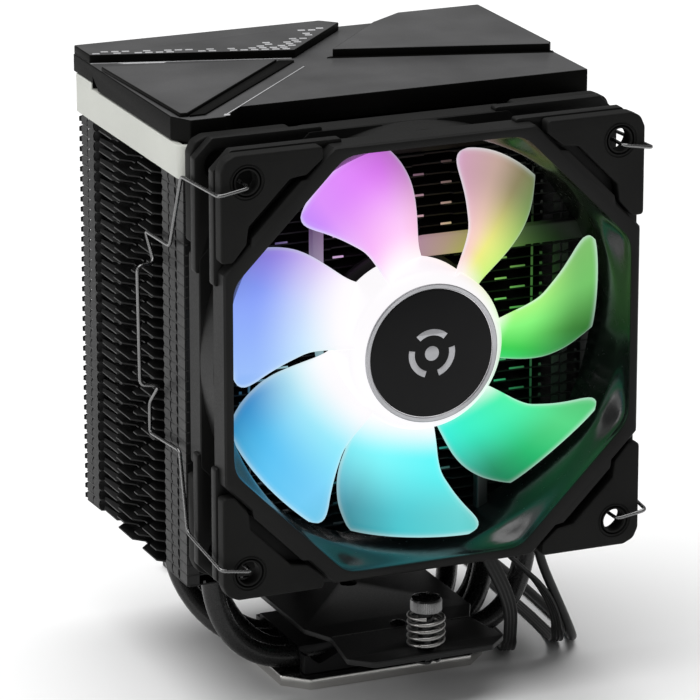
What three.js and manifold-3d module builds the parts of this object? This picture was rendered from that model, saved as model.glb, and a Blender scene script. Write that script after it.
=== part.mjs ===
// CPU tower cooler: a fin tower on four U-shaped heat pipes, a 120 mm fan clipped to its front,
// and a two-tone plastic top with side lights.
// Millimetres, +Z up. The origin is the centre of the contact face under the base, +X is to the
// right seen from the fan, and the fan blows towards +Y.
import * as THREE from 'three';
import { mergeVertices } from 'three/addons/utils/BufferGeometryUtils.js';
import Module from 'manifold-3d';

const wasm = await Module();
wasm.setup();

// ---- driving dimensions -------------------------------------------------------------------
const GAP = 0.3; // left between separate pieces that touch

const FAN = { size: 120, depth: 25, holeSpacing: 105, frontY: -49, centreZ: 99.5 };
const DUCT_R = 56.5; // round duct behind the octagonal mouth
const BLADES = 7;
const HUB_R = 22;
const HUB_FRONT_Y = -46;
const HUB_BACK_Y = -30;
const BLADE_TIP_R = 54.5;

const FIN = { halfX: 59, frontY: -21, backY: 57.5, bottomZ: 34.5, topZ: 145.8, count: 11, thick: 0.6 };
const NOTCH = { frontY: 4, backY: 41, depth: 5 }; // recess in both sides of every fin

const PIPE_R = 3;
const PIPE_Z = 6.6; // axis height inside the base
const PIPE_TOP_Z = 151;
const PIPE_BASE_Y = [-10.5, -3.5, 3.5, 10.5];
const PIPE_LEG_X = [46.6, 41.5, 46.6, 41.5];
const PIPE_LEG_Y = [-7, 7.5, 22, 36];

const PLATE = { halfX: 29.9, halfY: 20.9, corner: 6.2, thick: 3 };
const BLOCK = { halfX: 23.9, halfY: 17.4, topZ: 10 };
const BAR = { z: 15.3, thick: 1.6, endY: 49.2, waistY: 27.3 };
const SCREW_Y = 43.7; // spring screws, either side of the centre
const BAR_SCREW_Y = 24.4;

const COVER = { halfX: 60.2, frontY: -13.5, backY: 57, skirtZ: 155.7, topZ: 162 };
const RAISED_Z = 164.3;
const TRAY_Z = 146.2;
const CLIP_WIRE_R = 0.6;
const CLIP_X = 60.5; // wire plane at each side

// ---- materials ----------------------------------------------------------------------------
function finish(color, roughness, metalness) {
  return new THREE.MeshStandardMaterial({ color, roughness, metalness });
}

const BLACK_METAL = finish(0x17181a, 0.42, 0.6);
const BLACK_PLASTIC = finish(0x1c1d1d, 0.5, 0);
const COVER_PLASTIC = finish(0x2c2d2d, 0.38, 0.1);
const RUBBER = finish(0x1a1b1a, 0.75, 0);
const NICKEL = finish(0xb9b9b6, 0.25, 1);
const STEEL = finish(0xa9aaab, 0.22, 1);
const DIFFUSER = finish(0xc4c6c0, 0.55, 0);
const TRANSLUCENT = finish(0xd7d9ee, 0.4, 0);
const BRASS = finish(0xb08d4a, 0.35, 1);
const COPPER = finish(0xb4683a, 0.35, 1);
const MAGNET = finish(0x3a3a3c, 0.6, 0.5);
const BOARD = finish(0x16241b, 0.5, 0.1);
const CABLE = finish(0x161616, 0.6, 0);
const TIE = finish(0x222222, 0.5, 0);

// ---- solid helpers ------------------------------------------------------------------------
function toSolid(geometry) {
  const bare = geometry.clone();
  bare.deleteAttribute('normal');
  bare.deleteAttribute('uv');
  const merged = mergeVertices(bare, 1e-4);
  return new wasm.Manifold(new wasm.Mesh({
    numProp: 3,
    vertProperties: new Float32Array(merged.attributes.position.array),
    triVerts: new Uint32Array(merged.index.array),
  }));
}

function toGeometry(solid) {
  const { vertProperties, triVerts } = solid.getMesh();
  const geometry = new THREE.BufferGeometry();
  geometry.setAttribute('position', new THREE.BufferAttribute(new Float32Array(vertProperties), 3));
  geometry.setIndex(new THREE.BufferAttribute(new Uint32Array(triVerts), 1));
  geometry.computeVertexNormals();
  return geometry;
}

function join(...geometries) {
  return toGeometry(geometries.map(toSolid).reduce((sum, solid) => sum.add(solid)));
}

function cut(body, ...tools) {
  return toGeometry(tools.map(toSolid).reduce((rest, tool) => rest.subtract(tool), toSolid(body)));
}

function box(x0, x1, y0, y1, z0, z1) {
  const geometry = new THREE.BoxGeometry(x1 - x0, y1 - y0, z1 - z0);
  return geometry.translate((x0 + x1) / 2, (y0 + y1) / 2, (z0 + z1) / 2);
}

// A closed outline, always counter-clockwise, so that a hole in it runs clockwise.
function outline(points) {
  const corners = points.map(([u, v]) => new THREE.Vector2(u, v));
  return new THREE.Shape(THREE.ShapeUtils.isClockWise(corners) ? corners.reverse() : corners);
}

// An outline in plan, raised from z0 to z1.
function slab(shape, z0, z1, curveSegments = 6) {
  const geometry = new THREE.ExtrudeGeometry(shape, { depth: z1 - z0, bevelEnabled: false, curveSegments });
  return geometry.translate(0, 0, z0);
}

// An outline seen from the fan's front (x to the right, z up), running from y0 back to y1.
function frontal(shape, y0, y1, curveSegments = 6) {
  const geometry = new THREE.ExtrudeGeometry(shape, { depth: y1 - y0, bevelEnabled: false, curveSegments });
  return geometry.rotateX(Math.PI / 2).translate(0, y1, FAN.centreZ);
}

function circle(radius, x = 0, y = 0) {
  const shape = new THREE.Shape();
  shape.absarc(x, y, radius, 0, 2 * Math.PI, false);
  return shape;
}

// An octagon with wide flats: a square of half side `half` whose corners are cut at `reach`.
function octagon(half, reach) {
  return outline([
    [reach, -half], [half, -reach], [half, reach], [reach, half],
    [-reach, half], [-half, reach], [-half, -reach], [-reach, -half],
  ]);
}

// A profile of [radius, height] points turned about Z.
function turned(profile, segments) {
  return new THREE.LatheGeometry(profile.map(([r, h]) => new THREE.Vector2(r, h)), segments)
    .rotateX(Math.PI / 2);
}

// The same, turned about the fan's axis, with the heights as places along Y.
function turnedOnFan(profile, segments) {
  return new THREE.LatheGeometry(profile.map(([r, h]) => new THREE.Vector2(r, h)), segments)
    .translate(0, 0, FAN.centreZ);
}

function regularSection(radius, sides) {
  const points = [];
  for (let i = 0; i < sides; i += 1) {
    const angle = (2 * Math.PI * (i + 0.5)) / sides;
    points.push([radius * Math.cos(angle), radius * Math.sin(angle)]);
  }
  return outline(points);
}

function sweep(section, curve, steps) {
  return new THREE.ExtrudeGeometry(section, { steps, bevelEnabled: false, extrudePath: curve });
}

// A round bar along a path of curves, with its own number of steps on each curve. Every ring keeps
// the direction of the ring before it, so the bar doesn't twist.
function roundBar(path, steps, radius, sides) {
  const rings = [];
  path.curves.forEach((curve, k) => {
    for (let i = k === 0 ? 0 : 1; i <= steps[k]; i += 1) {
      rings.push([curve.getPoint(i / steps[k]), curve.getTangent(i / steps[k])]);
    }
  });
  const across = new THREE.Vector3(0.31, 0.93, 0.19);
  const positions = [];
  rings.forEach(([point, tangent]) => {
    across.addScaledVector(tangent, -across.dot(tangent)).normalize();
    const other = new THREE.Vector3().crossVectors(tangent, across);
    for (let i = 0; i < sides; i += 1) {
      const angle = (2 * Math.PI * (i + 0.5)) / sides;
      const p = point.clone().addScaledVector(across, radius * Math.cos(angle))
        .addScaledVector(other, radius * Math.sin(angle));
      positions.push(p.x, p.y, p.z);
    }
  });
  const faces = [];
  for (let r = 0; r < rings.length - 1; r += 1) {
    for (let i = 0; i < sides; i += 1) {
      const a = r * sides + i;
      const b = r * sides + ((i + 1) % sides);
      faces.push(a, b, b + sides, a, b + sides, a + sides);
    }
  }
  const last = (rings.length - 1) * sides;
  for (let i = 1; i < sides - 1; i += 1) {
    faces.push(0, i + 1, i, last, last + i, last + i + 1);
  }
  const geometry = new THREE.BufferGeometry();
  geometry.setAttribute('position', new THREE.Float32BufferAttribute(positions, 3));
  geometry.setIndex(faces);
  return geometry;
}

// A bent wire: straight runs between the points, with a rounded bend at each inner point.
function bentWire(points, bend, radius, sides) {
  const at = points.map(([x, y, z]) => new THREE.Vector3(x, y, z));
  const path = new THREE.CurvePath();
  const steps = [];
  let from = at[0];
  for (let i = 1; i < at.length - 1; i += 1) {
    const before = at[i].clone().sub(at[i - 1]);
    const after = at[i + 1].clone().sub(at[i]);
    const reach = Math.min(bend, 0.45 * before.length(), 0.45 * after.length());
    const enter = at[i].clone().addScaledVector(before.normalize(), -reach);
    const leave = at[i].clone().addScaledVector(after.normalize(), reach);
    path.add(new THREE.LineCurve3(from, enter));
    path.add(new THREE.QuadraticBezierCurve3(enter, at[i], leave));
    steps.push(1, 2);
    from = leave;
  }
  path.add(new THREE.LineCurve3(from, at[at.length - 1]));
  steps.push(1);
  return roundBar(path, steps, radius, sides);
}

// ---- the assembly -------------------------------------------------------------------------
const cooler = new THREE.Group();
const base = new THREE.Group();
const tower = new THREE.Group();
const top = new THREE.Group();
const fan = new THREE.Group();
const leads = new THREE.Group();
cooler.add(base, tower, top, fan, leads);

function add(group, name, geometry, material) {
  const mesh = new THREE.Mesh(geometry, material);
  mesh.name = name;
  group.add(mesh);
  return mesh;
}

// ---- base ---------------------------------------------------------------------------------
function chamferedRectangle(halfX, halfY, corner) {
  return outline([
    [-halfX + corner, -halfY], [halfX - corner, -halfY], [halfX, -halfY + corner],
    [halfX, halfY - corner], [halfX - corner, halfY], [-halfX + corner, halfY],
    [-halfX, halfY - corner], [-halfX, -halfY + corner],
  ]);
}

function basePlate() {
  return slab(chamferedRectangle(PLATE.halfX, PLATE.halfY, PLATE.corner), 0, PLATE.thick);
}

// The pressing block: four tunnels for the pipes, and a narrow rib that carries the crossbar.
function baseBlock() {
  const bottomZ = PLATE.thick + GAP;
  const body = box(-BLOCK.halfX, BLOCK.halfX, -BLOCK.halfY, BLOCK.halfY, bottomZ, BLOCK.topZ);
  const ribY = BAR_SCREW_Y + 4;
  const rib = box(-9, 9, -ribY, ribY, BLOCK.topZ - 2.5, BAR.z - GAP);
  const tunnelR = PIPE_R + GAP;
  const tunnels = PIPE_BASE_Y.map((y) => {
    const half = BLOCK.halfX + 1;
    const channel = box(-half, half, y - tunnelR, y + tunnelR, bottomZ - 1, PIPE_Z);
    const arch = sweep(
      regularSection(tunnelR / Math.cos(Math.PI / 8), 8),
      new THREE.LineCurve3(new THREE.Vector3(-half, y, PIPE_Z), new THREE.Vector3(half, y, PIPE_Z)),
      1,
    );
    return join(channel, arch);
  });
  const screwHoles = [-BAR_SCREW_Y, BAR_SCREW_Y].map((y) => (
    slab(regularSection(1.8, 8), BLOCK.topZ - 1, BAR.z + 1).translate(0, y, 0)));
  const notch = slab(
    outline([[-BLOCK.halfX - 1, -BLOCK.halfY - 1], [-12, -BLOCK.halfY - 1], [-12, -14.5], [-BLOCK.halfX - 1, -14.5]]),
    8.6, BLOCK.topZ + 1,
  );
  return cut(join(body, rib), ...tunnels, ...screwHoles, notch);
}

// The stamped crossbar: wide ends with clipped corners, a waist, and a wider middle.
function crossbar() {
  const { endY, waistY, z, thick } = BAR;
  const half = [[17.1, -endY], [22.8, -endY + 5.4], [20.4, -waistY], [24.6, -waistY + 9],
    [24.6, waistY - 9], [20.4, waistY], [22.8, endY - 5.4], [17.1, endY]];
  const shape = outline([...half, ...half.map(([x, y]) => [-x, y]).reverse()]);
  const holes = [[2.6, -SCREW_Y], [2.6, SCREW_Y], [1.7, -BAR_SCREW_Y], [1.7, BAR_SCREW_Y], [2.3, 9.8]];
  holes.forEach(([radius, y]) => {
    const hole = new THREE.Path();
    hole.absarc(0, y, radius, 0, 2 * Math.PI, true);
    shape.holes.push(hole);
  });
  return slab(shape, z, z + thick, 5);
}

// A small countersunk-style screw that holds the crossbar to the block.
function barScrew(y) {
  const barTop = BAR.z + BAR.thick + GAP;
  return turned([[0, BLOCK.topZ + 0.6], [1.35, BLOCK.topZ + 0.6], [1.35, barTop], [2, barTop],
    [2, barTop + 0.4], [1.5, barTop + 0.7], [0, barTop + 0.7]], 10).translate(0, y, 0);
}

const SPRING = { bottomZ: 17.2, topZ: 26.9, meanR: 5, wireR: 0.5, turns: 4 };
const SCREW_TOP_Z = 31.2;
const SCREW_TIP_Z = 12.4;

// A spring screw: a round head on a plain shank, with a groove for its retaining clip at the tip.
function springScrew(y) {
  return turned([[0, SCREW_TIP_Z], [1.4, SCREW_TIP_Z], [1.7, SCREW_TIP_Z + 0.3], [1.7, 13.1],
    [1.3, 13.1], [1.3, 14.4], [2.1, 14.4], [2.1, SPRING.topZ + GAP], [4.2, SPRING.topZ + GAP],
    [4.3, SCREW_TOP_Z - 0.7], [3.7, SCREW_TOP_Z], [0, SCREW_TOP_Z]], 12).translate(0, y, 0);
}

class Helix extends THREE.Curve {
  getPoint(t) {
    const angle = 2 * Math.PI * SPRING.turns * t;
    const rise = SPRING.topZ - SPRING.bottomZ - 2 * SPRING.wireR;
    const z = SPRING.bottomZ + SPRING.wireR + rise * t;
    return new THREE.Vector3(SPRING.meanR * Math.cos(angle), SPRING.meanR * Math.sin(angle), z);
  }
}

function coilSpring(y) {
  const section = regularSection(SPRING.wireR * 0.94, 5);
  return sweep(section, new Helix(), SPRING.turns * 9).translate(0, y, 0);
}

// A split retaining clip in the screw's groove, just under the crossbar.
function retainingClip(y) {
  const shape = new THREE.Shape();
  shape.absarc(0, 0, 4, -1.1, 4.24, false);
  shape.absarc(0, 0, 1.3 + GAP, 4.24, -1.1, true);
  return slab(shape, 13.4, 14.1, 5).translate(0, y, 0);
}

add(base, 'base_plate', basePlate(), NICKEL);
add(base, 'base_block', baseBlock(), BLACK_METAL);
add(base, 'crossbar', crossbar(), BLACK_METAL);
[['front', -1], ['rear', 1]].forEach(([place, side]) => {
  add(base, `crossbar_screw_${place}`, barScrew(side * BAR_SCREW_Y), STEEL);
  add(base, `spring_screw_${place}`, springScrew(side * SCREW_Y), STEEL);
  add(base, `screw_spring_${place}`, coilSpring(side * SCREW_Y), STEEL);
  add(base, `retaining_clip_${place}`, retainingClip(side * SCREW_Y), STEEL);
});

// ---- heat pipes and fins ------------------------------------------------------------------
// One U-shaped pipe: down one leg, round a wide bend, through the base, and up the other leg.
function heatPipe(index) {
  const x = PIPE_LEG_X[index];
  const y = PIPE_LEG_Y[index];
  const baseY = PIPE_BASE_Y[index];
  const bendTopZ = FIN.bottomZ - 1;
  const path = new THREE.CurvePath();
  const at = (px, py, pz) => new THREE.Vector3(px, py, pz);
  path.add(new THREE.LineCurve3(at(-x, y, PIPE_TOP_Z), at(-x, y, bendTopZ)));
  path.add(new THREE.CubicBezierCurve3(at(-x, y, bendTopZ), at(-x, y, bendTopZ - 17),
    at(-x + 8, baseY, PIPE_Z), at(-BLOCK.halfX - 1, baseY, PIPE_Z)));
  path.add(new THREE.LineCurve3(at(-BLOCK.halfX - 1, baseY, PIPE_Z), at(BLOCK.halfX + 1, baseY, PIPE_Z)));
  path.add(new THREE.CubicBezierCurve3(at(BLOCK.halfX + 1, baseY, PIPE_Z), at(x - 8, baseY, PIPE_Z),
    at(x, y, bendTopZ - 17), at(x, y, bendTopZ)));
  path.add(new THREE.LineCurve3(at(x, y, bendTopZ), at(x, y, PIPE_TOP_Z)));
  return roundBar(path, [1, 7, 1, 7, 1], PIPE_R, 8);
}

// The outline of one fin: clipped corners and a recess in each side.
function finShape() {
  const { halfX, frontY, backY } = FIN;
  const inner = halfX - NOTCH.depth;
  const side = [[halfX - 5, frontY], [halfX, frontY + 5], [halfX, NOTCH.frontY],
    [inner, NOTCH.frontY + 6], [inner, NOTCH.backY - 6], [halfX, NOTCH.backY],
    [halfX, backY - 4], [halfX - 4, backY]];
  const shape = outline([...side, ...side.map(([x, y]) => [-x, y]).reverse()]);
  PIPE_LEG_X.forEach((x, i) => {
    [-x, x].forEach((px) => {
      const points = [];
      const clear = (PIPE_R + GAP) / Math.cos(Math.PI / 6);
      for (let k = 5; k >= 0; k -= 1) {
        const angle = (Math.PI * k) / 3;
        points.push(new THREE.Vector2(px + clear * Math.cos(angle), PIPE_LEG_Y[i] + clear * Math.sin(angle)));
      }
      shape.holes.push(new THREE.Path(points));
    });
  });
  return shape;
}

// The stack: fins at an even pitch, joined by the folded tabs down both sides.
function finStack() {
  const shape = finShape();
  const pitch = (FIN.topZ - FIN.bottomZ - FIN.thick) / (FIN.count - 1);
  const fins = [];
  for (let i = 0; i < FIN.count; i += 1) {
    const z = FIN.bottomZ + i * pitch;
    fins.push(slab(shape, z, z + FIN.thick));
  }
  const tabs = [];
  [-1, 1].forEach((side) => {
    [[-14, -4], [44, 53]].forEach(([y0, y1]) => {
      const [x0, x1] = [side * (FIN.halfX - 1), side * (FIN.halfX - 2)].sort((a, b) => a - b);
      tabs.push(box(x0, x1, y0, y1, FIN.bottomZ + 0.1, FIN.topZ - 0.1));
    });
  });
  return join(...fins, ...tabs);
}

PIPE_LEG_X.forEach((_, i) => add(tower, `heat_pipe_${i + 1}`, heatPipe(i), BLACK_METAL));
add(tower, 'fin_stack', finStack(), BLACK_METAL);

// ---- top ----------------------------------------------------------------------------------
// Plan outline of the cover: the left front corner reaches forward over the fan's edge.
function coverOutline(inset) {
  const { halfX, frontY, backY } = COVER;
  const i = inset;
  return outline([
    [-halfX + i, -15.5 + i], [-57 + i, -21.6 + i], [-47.2, -21.6 + i], [-40 + i / 2, frontY + i],
    [halfX - i, frontY + i], [halfX - i, backY - i], [-halfX + i, backY - i],
  ]);
}

function topCover() {
  const shell = slab(coverOutline(0), COVER.skirtZ, COVER.topZ);
  const hollow = slab(coverOutline(2), COVER.skirtZ - 1, COVER.topZ - 2);
  return cut(shell, hollow);
}

// Raised plates that sit on the cover.
const RAISED = {
  cover_plate_rear_left: [[-60, 44.5], [-7.2, 28.4], [16, 52.5], [11.8, 56.8], [-60, 56.8]],
  cover_plate_rear_right: [[2.2, 25], [58.8, 7.6], [60, 9.5], [60, 56.8], [35.5, 56.8], [30.5, 53.3], [25, 49.5]],
};
const TRIANGLE = [[-60, 36], [-58.5, -17.8], [-56.4, -18.2], [-13.5, 25.2]];

function plateOn(points, z1) {
  return slab(outline(points), COVER.topZ + GAP, z1);
}

// The tray under the cover holds the light strips and hides the pipe ends.
function coverTray() {
  const outer = box(-56.2, 56.2, -20, 54.8, TRAY_Z, COVER.skirtZ - GAP);
  const inner = box(-52, 52, -16.5, 51.5, TRAY_Z - 1, COVER.skirtZ);
  return cut(outer, inner);
}

// A light diffuser: a flat band along one side with a rounded wrap at both corners.
function diffuser(side) {
  const shape = new THREE.Shape();
  const [x0, x1, y0, y1, r] = [58.4, 60.3, -22.4, 56.9, 3];
  shape.moveTo(x0 - 3, y0);
  shape.lineTo(x1 - r, y0);
  shape.absarc(x1 - r, y0 + r, r, -Math.PI / 2, 0, false);
  shape.lineTo(x1, y1 - r);
  shape.absarc(x1 - r, y1 - r, r, 0, Math.PI / 2, false);
  shape.lineTo(x0 - 3, y1);
  shape.lineTo(x0 - 3, y1 - 1.1);
  shape.lineTo(x0, y1 - 2.6);
  shape.lineTo(x0, y0 + 2.6);
  shape.lineTo(x0 - 3, y0 + 1.5);
  const geometry = slab(shape, TRAY_Z + 0.2, COVER.skirtZ - GAP, 3);
  return side < 0 ? geometry.rotateY(Math.PI).translate(0, 0, TRAY_Z + 0.2 + COVER.skirtZ - GAP) : geometry;
}

function lightStrip(side) {
  const [x0, x1] = [side * 56.7, side * 57.7].sort((a, b) => a - b);
  return box(x0, x1, -17, 53, 148.2, 153.4);
}

add(top, 'top_cover', topCover(), COVER_PLASTIC);
Object.entries(RAISED).forEach(([name, points]) => add(top, name, plateOn(points, RAISED_Z), COVER_PLASTIC));
add(top, 'cover_plate_triangle', plateOn(TRIANGLE, 163.1), COVER_PLASTIC);
add(top, 'cover_tray', coverTray(), BLACK_PLASTIC);
[['left', -1], ['right', 1]].forEach(([place, side]) => {
  add(top, `light_diffuser_${place}`, diffuser(side), DIFFUSER);
  add(top, `light_strip_${place}`, lightStrip(side), BOARD);
});

// ---- fan ----------------------------------------------------------------------------------
const FRONT = FAN.frontY;
const BACK = FAN.frontY + FAN.depth;
const HALF = FAN.size / 2;
const HOLE = FAN.holeSpacing / 2;
const PAD_DEPTH = 4.2;
const FLANGE = 3.2; // corner flange of the frame, behind each pad

// Frame of the fan: octagonal mouth, corner flanges, round duct and a motor seat on four tangent
// struts, the upper one wider for the leads.
function fanFrame() {
  const frontRing = frontal(octagon(HALF - 1, 28.4), FRONT, FRONT + PAD_DEPTH + GAP + FLANGE);
  const barrel = frontal(circle(59.2), FRONT + 5, BACK - 5, 14);
  const rearRing = frontal(octagon(HALF - 1, 28.4), BACK - PAD_DEPTH - GAP - FLANGE, BACK);
  const corners = [
    [FRONT + PAD_DEPTH + GAP, FRONT + PAD_DEPTH + GAP + FLANGE],
    [BACK - PAD_DEPTH - GAP - FLANGE, BACK - PAD_DEPTH - GAP],
  ].map(([y0, y1]) => frontal(octagon(HALF, HALF - 5), y0, y1));
  const mouth = frontal(octagon(56.4, 25), FRONT - 1, FRONT + 6);
  const duct = frontal(circle(DUCT_R), FRONT + 4, BACK + 1, 14);
  const holes = [];
  [-HOLE, HOLE].forEach((x) => [-HOLE, HOLE].forEach((z) => {
    holes.push(frontal(regularSection(4.7, 10), FRONT - 1, BACK + 1).translate(x, 0, z));
  }));
  const shell = toSolid(cut(join(frontRing, barrel, rearRing, ...corners), mouth, duct, ...holes));
  const seat = toSolid(frontal(circle(23), BACK - 2.4, BACK, 8));
  const post = toSolid(frontal(circle(4.6), BACK - 15, BACK - 2, 5));
  const struts = [0, 90, 180, 270].map((degrees) => {
    const strut = box(-5, 53.1, BACK - 3.2, BACK - 0.4, degrees === 0 ? 20.1 : 22.2, 25.5);
    return toSolid(strut.rotateY(-THREE.MathUtils.degToRad(degrees)).translate(0, 0, FAN.centreZ));
  });
  const bore = toSolid(frontal(circle(3.6), BACK - 20, BACK - 1.6, 5));
  return toGeometry([seat, post, ...struts].reduce((sum, solid) => sum.add(solid), shell).subtract(bore));
}

// A rubber corner pad: its inner edge steps across the corner of the frame.
function cornerPad(sx, sz, y0, y1) {
  const points = [
    [HALF - 4.5, HALF - 0.3], [HALF - 1.6, HALF - 1.6], [HALF - 0.3, HALF - 4.5],
    [HALF - 0.3, 31.5], [HALF - 3.6, 31.5], [52.6, 36], [52, 40.6], [40.6, 52], [36, 52.6],
    [31.5, HALF - 3.6], [31.5, HALF - 0.3],
  ].map(([x, z]) => [sx * x, sz * z]);
  const shape = outline(points);
  const hole = new THREE.Path();
  hole.absarc(sx * HOLE, sz * HOLE, 3, 0, 2 * Math.PI, true);
  shape.holes.push(hole);
  return frontal(shape, y0, y1, 5);
}

// The hub cup and its blades. Angles are measured from +X towards +Z, seen from the front.
const CUP = [
  [0, HUB_FRONT_Y], [17.5, HUB_FRONT_Y], [HUB_R, HUB_FRONT_Y + 3.2], [HUB_R, HUB_BACK_Y],
  [20, HUB_BACK_Y], [20, HUB_FRONT_Y + 4.6], [16, HUB_FRONT_Y + 2], [1.9, HUB_FRONT_Y + 2],
  [1.9, HUB_FRONT_Y + 6], [0, HUB_FRONT_Y + 6],
];

// Stations from the hub to the tip: radius, start and end angle, front and back Y.
const BLADE_STATIONS = [
  [HUB_R - 1, 80, 121, -44.5, -31.5],
  [31, 84, 122, -44.6, -30.6],
  [40, 89, 127, -44.4, -29.8],
  [48, 93, 131, -44, -29.4],
  [BLADE_TIP_R, 98, 129, -43.4, -30],
];
const BLADE_THICK = 1.5;

function blade(turn) {
  const across = 4;
  const positions = [];
  const faces = [];
  [-0.5, 0.5].forEach((offset) => {
    BLADE_STATIONS.forEach(([r, a0, a1, y0, y1]) => {
      for (let i = 0; i <= across; i += 1) {
        const t = i / across;
        const angle = THREE.MathUtils.degToRad(a1 + (a0 - a1) * t + turn);
        const camber = 1.6 * Math.sin(Math.PI * t);
        const y = y0 + (y1 - y0) * t + camber + offset * BLADE_THICK;
        positions.push(r * Math.cos(angle), y, FAN.centreZ + r * Math.sin(angle));
      }
    });
  });
  const row = across + 1;
  const layer = BLADE_STATIONS.length * row;
  const quad = (a, b, c, d) => faces.push(a, c, b, a, d, c);
  for (let s = 0; s < BLADE_STATIONS.length - 1; s += 1) {
    for (let i = 0; i < across; i += 1) {
      const a = s * row + i;
      quad(a, a + row, a + row + 1, a + 1);
      quad(layer + a, layer + a + 1, layer + a + row + 1, layer + a + row);
    }
    const left = s * row;
    const right = s * row + across;
    quad(left, layer + left, layer + left + row, left + row);
    quad(right, right + row, layer + right + row, layer + right);
  }
  for (let i = 0; i < across; i += 1) {
    const tip = (BLADE_STATIONS.length - 1) * row + i;
    quad(i, i + 1, layer + i + 1, layer + i);
    quad(tip, layer + tip, layer + tip + 1, tip + 1);
  }
  const geometry = new THREE.BufferGeometry();
  geometry.setAttribute('position', new THREE.Float32BufferAttribute(positions, 3));
  geometry.setIndex(faces);
  return geometry;
}

function impeller() {
  let sum = toSolid(turnedOnFan(CUP, 28));
  const hollow = toSolid(turnedOnFan([[0, HUB_FRONT_Y + 1], [20, HUB_FRONT_Y + 4.6], [20, 0], [0, 0]], 28));
  for (let i = 0; i < BLADES; i += 1) {
    sum = sum.add(toSolid(blade((360 / BLADES) * i)).subtract(hollow));
  }
  return toGeometry(sum);
}

add(fan, 'fan_frame', fanFrame(), BLACK_PLASTIC);
[['top_left', -1, 1], ['top_right', 1, 1], ['bottom_left', -1, -1], ['bottom_right', 1, -1]]
  .forEach(([place, sx, sz]) => {
    add(fan, `front_pad_${place}`, cornerPad(sx, sz, FRONT, FRONT + PAD_DEPTH), RUBBER);
    add(fan, `rear_pad_${place}`, cornerPad(sx, sz, BACK - PAD_DEPTH, BACK), RUBBER);
  });
add(fan, 'impeller', impeller(), TRANSLUCENT);
add(fan, 'hub_ring', turnedOnFan([[17.7, -46.6], [18.7, -46.6], [18.7, -46.3], [17.7, -46.3], [17.7, -46.6]], 28), STEEL);
add(fan, 'hub_badge', turnedOnFan([[0, -46.7], [17.4, -46.7], [17.4, -46.3], [0, -46.3]], 28), BLACK_PLASTIC);
add(fan, 'magnet_ring', turnedOnFan(
  [[17.6, -40.6], [19.6, -40.6], [19.6, -31], [17.6, -31], [17.6, -40.6]], 20), MAGNET);
add(fan, 'motor_shaft', turnedOnFan([[0, -39.6], [1.5, -39.6], [1.5, -27.5], [0, -27.5]], 10), STEEL);
add(fan, 'shaft_bearing', turnedOnFan(
  [[1.8, -38.2], [3.3, -38.2], [3.3, -27], [1.8, -27], [1.8, -38.2]], 12), BRASS);
add(fan, 'motor_coils', turnedOnFan(
  [[5, -38], [16.8, -38], [16.8, -30.5], [5, -30.5], [5, -38]], 16), COPPER);
add(fan, 'motor_board', turnedOnFan(
  [[5, -29.8], [18.5, -29.8], [18.5, -28.4], [5, -28.4], [5, -29.8]], 16), BOARD);

// ---- fan clips ----------------------------------------------------------------------------
// A spring-wire clip: it hooks into two fan holes, runs back past the frame, and its bent middle
// drops into the fins' side groove. The straight bump is the grip.
function wireClip(side) {
  const [axisX, sideX, gripX] = [HOLE, CLIP_X, CLIP_X + 5];
  const beside = HALF + 1;
  const front = FRONT - 1.7;
  const points = [
    [axisX, FRONT + 5.5, 151], [axisX, front, 151], [beside, front - 0.3, 149.6], [beside, -25, 148.4],
    [sideX, -15, 127], [sideX, 2.5, 126.5], [sideX, -3.4, 119.4], [gripX, -4.2, 119.1],
    [gripX, -5.2, 86.9], [sideX, -6.2, 86.4], [sideX, 1, 79.5], [sideX, 1, 71.2],
    [sideX, -20.5, 72.8], [beside, -27, 52.2], [beside, front - 0.3, 49.4], [axisX, front, 48],
    [axisX, FRONT + 5.5, 48],
  ];
  return bentWire(points.map(([x, y, z]) => [side * x, y, z]), 1.6, CLIP_WIRE_R, 6);
}

add(fan, 'wire_clip_left', wireClip(-1), STEEL);
add(fan, 'wire_clip_right', wireClip(1), STEEL);

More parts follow.
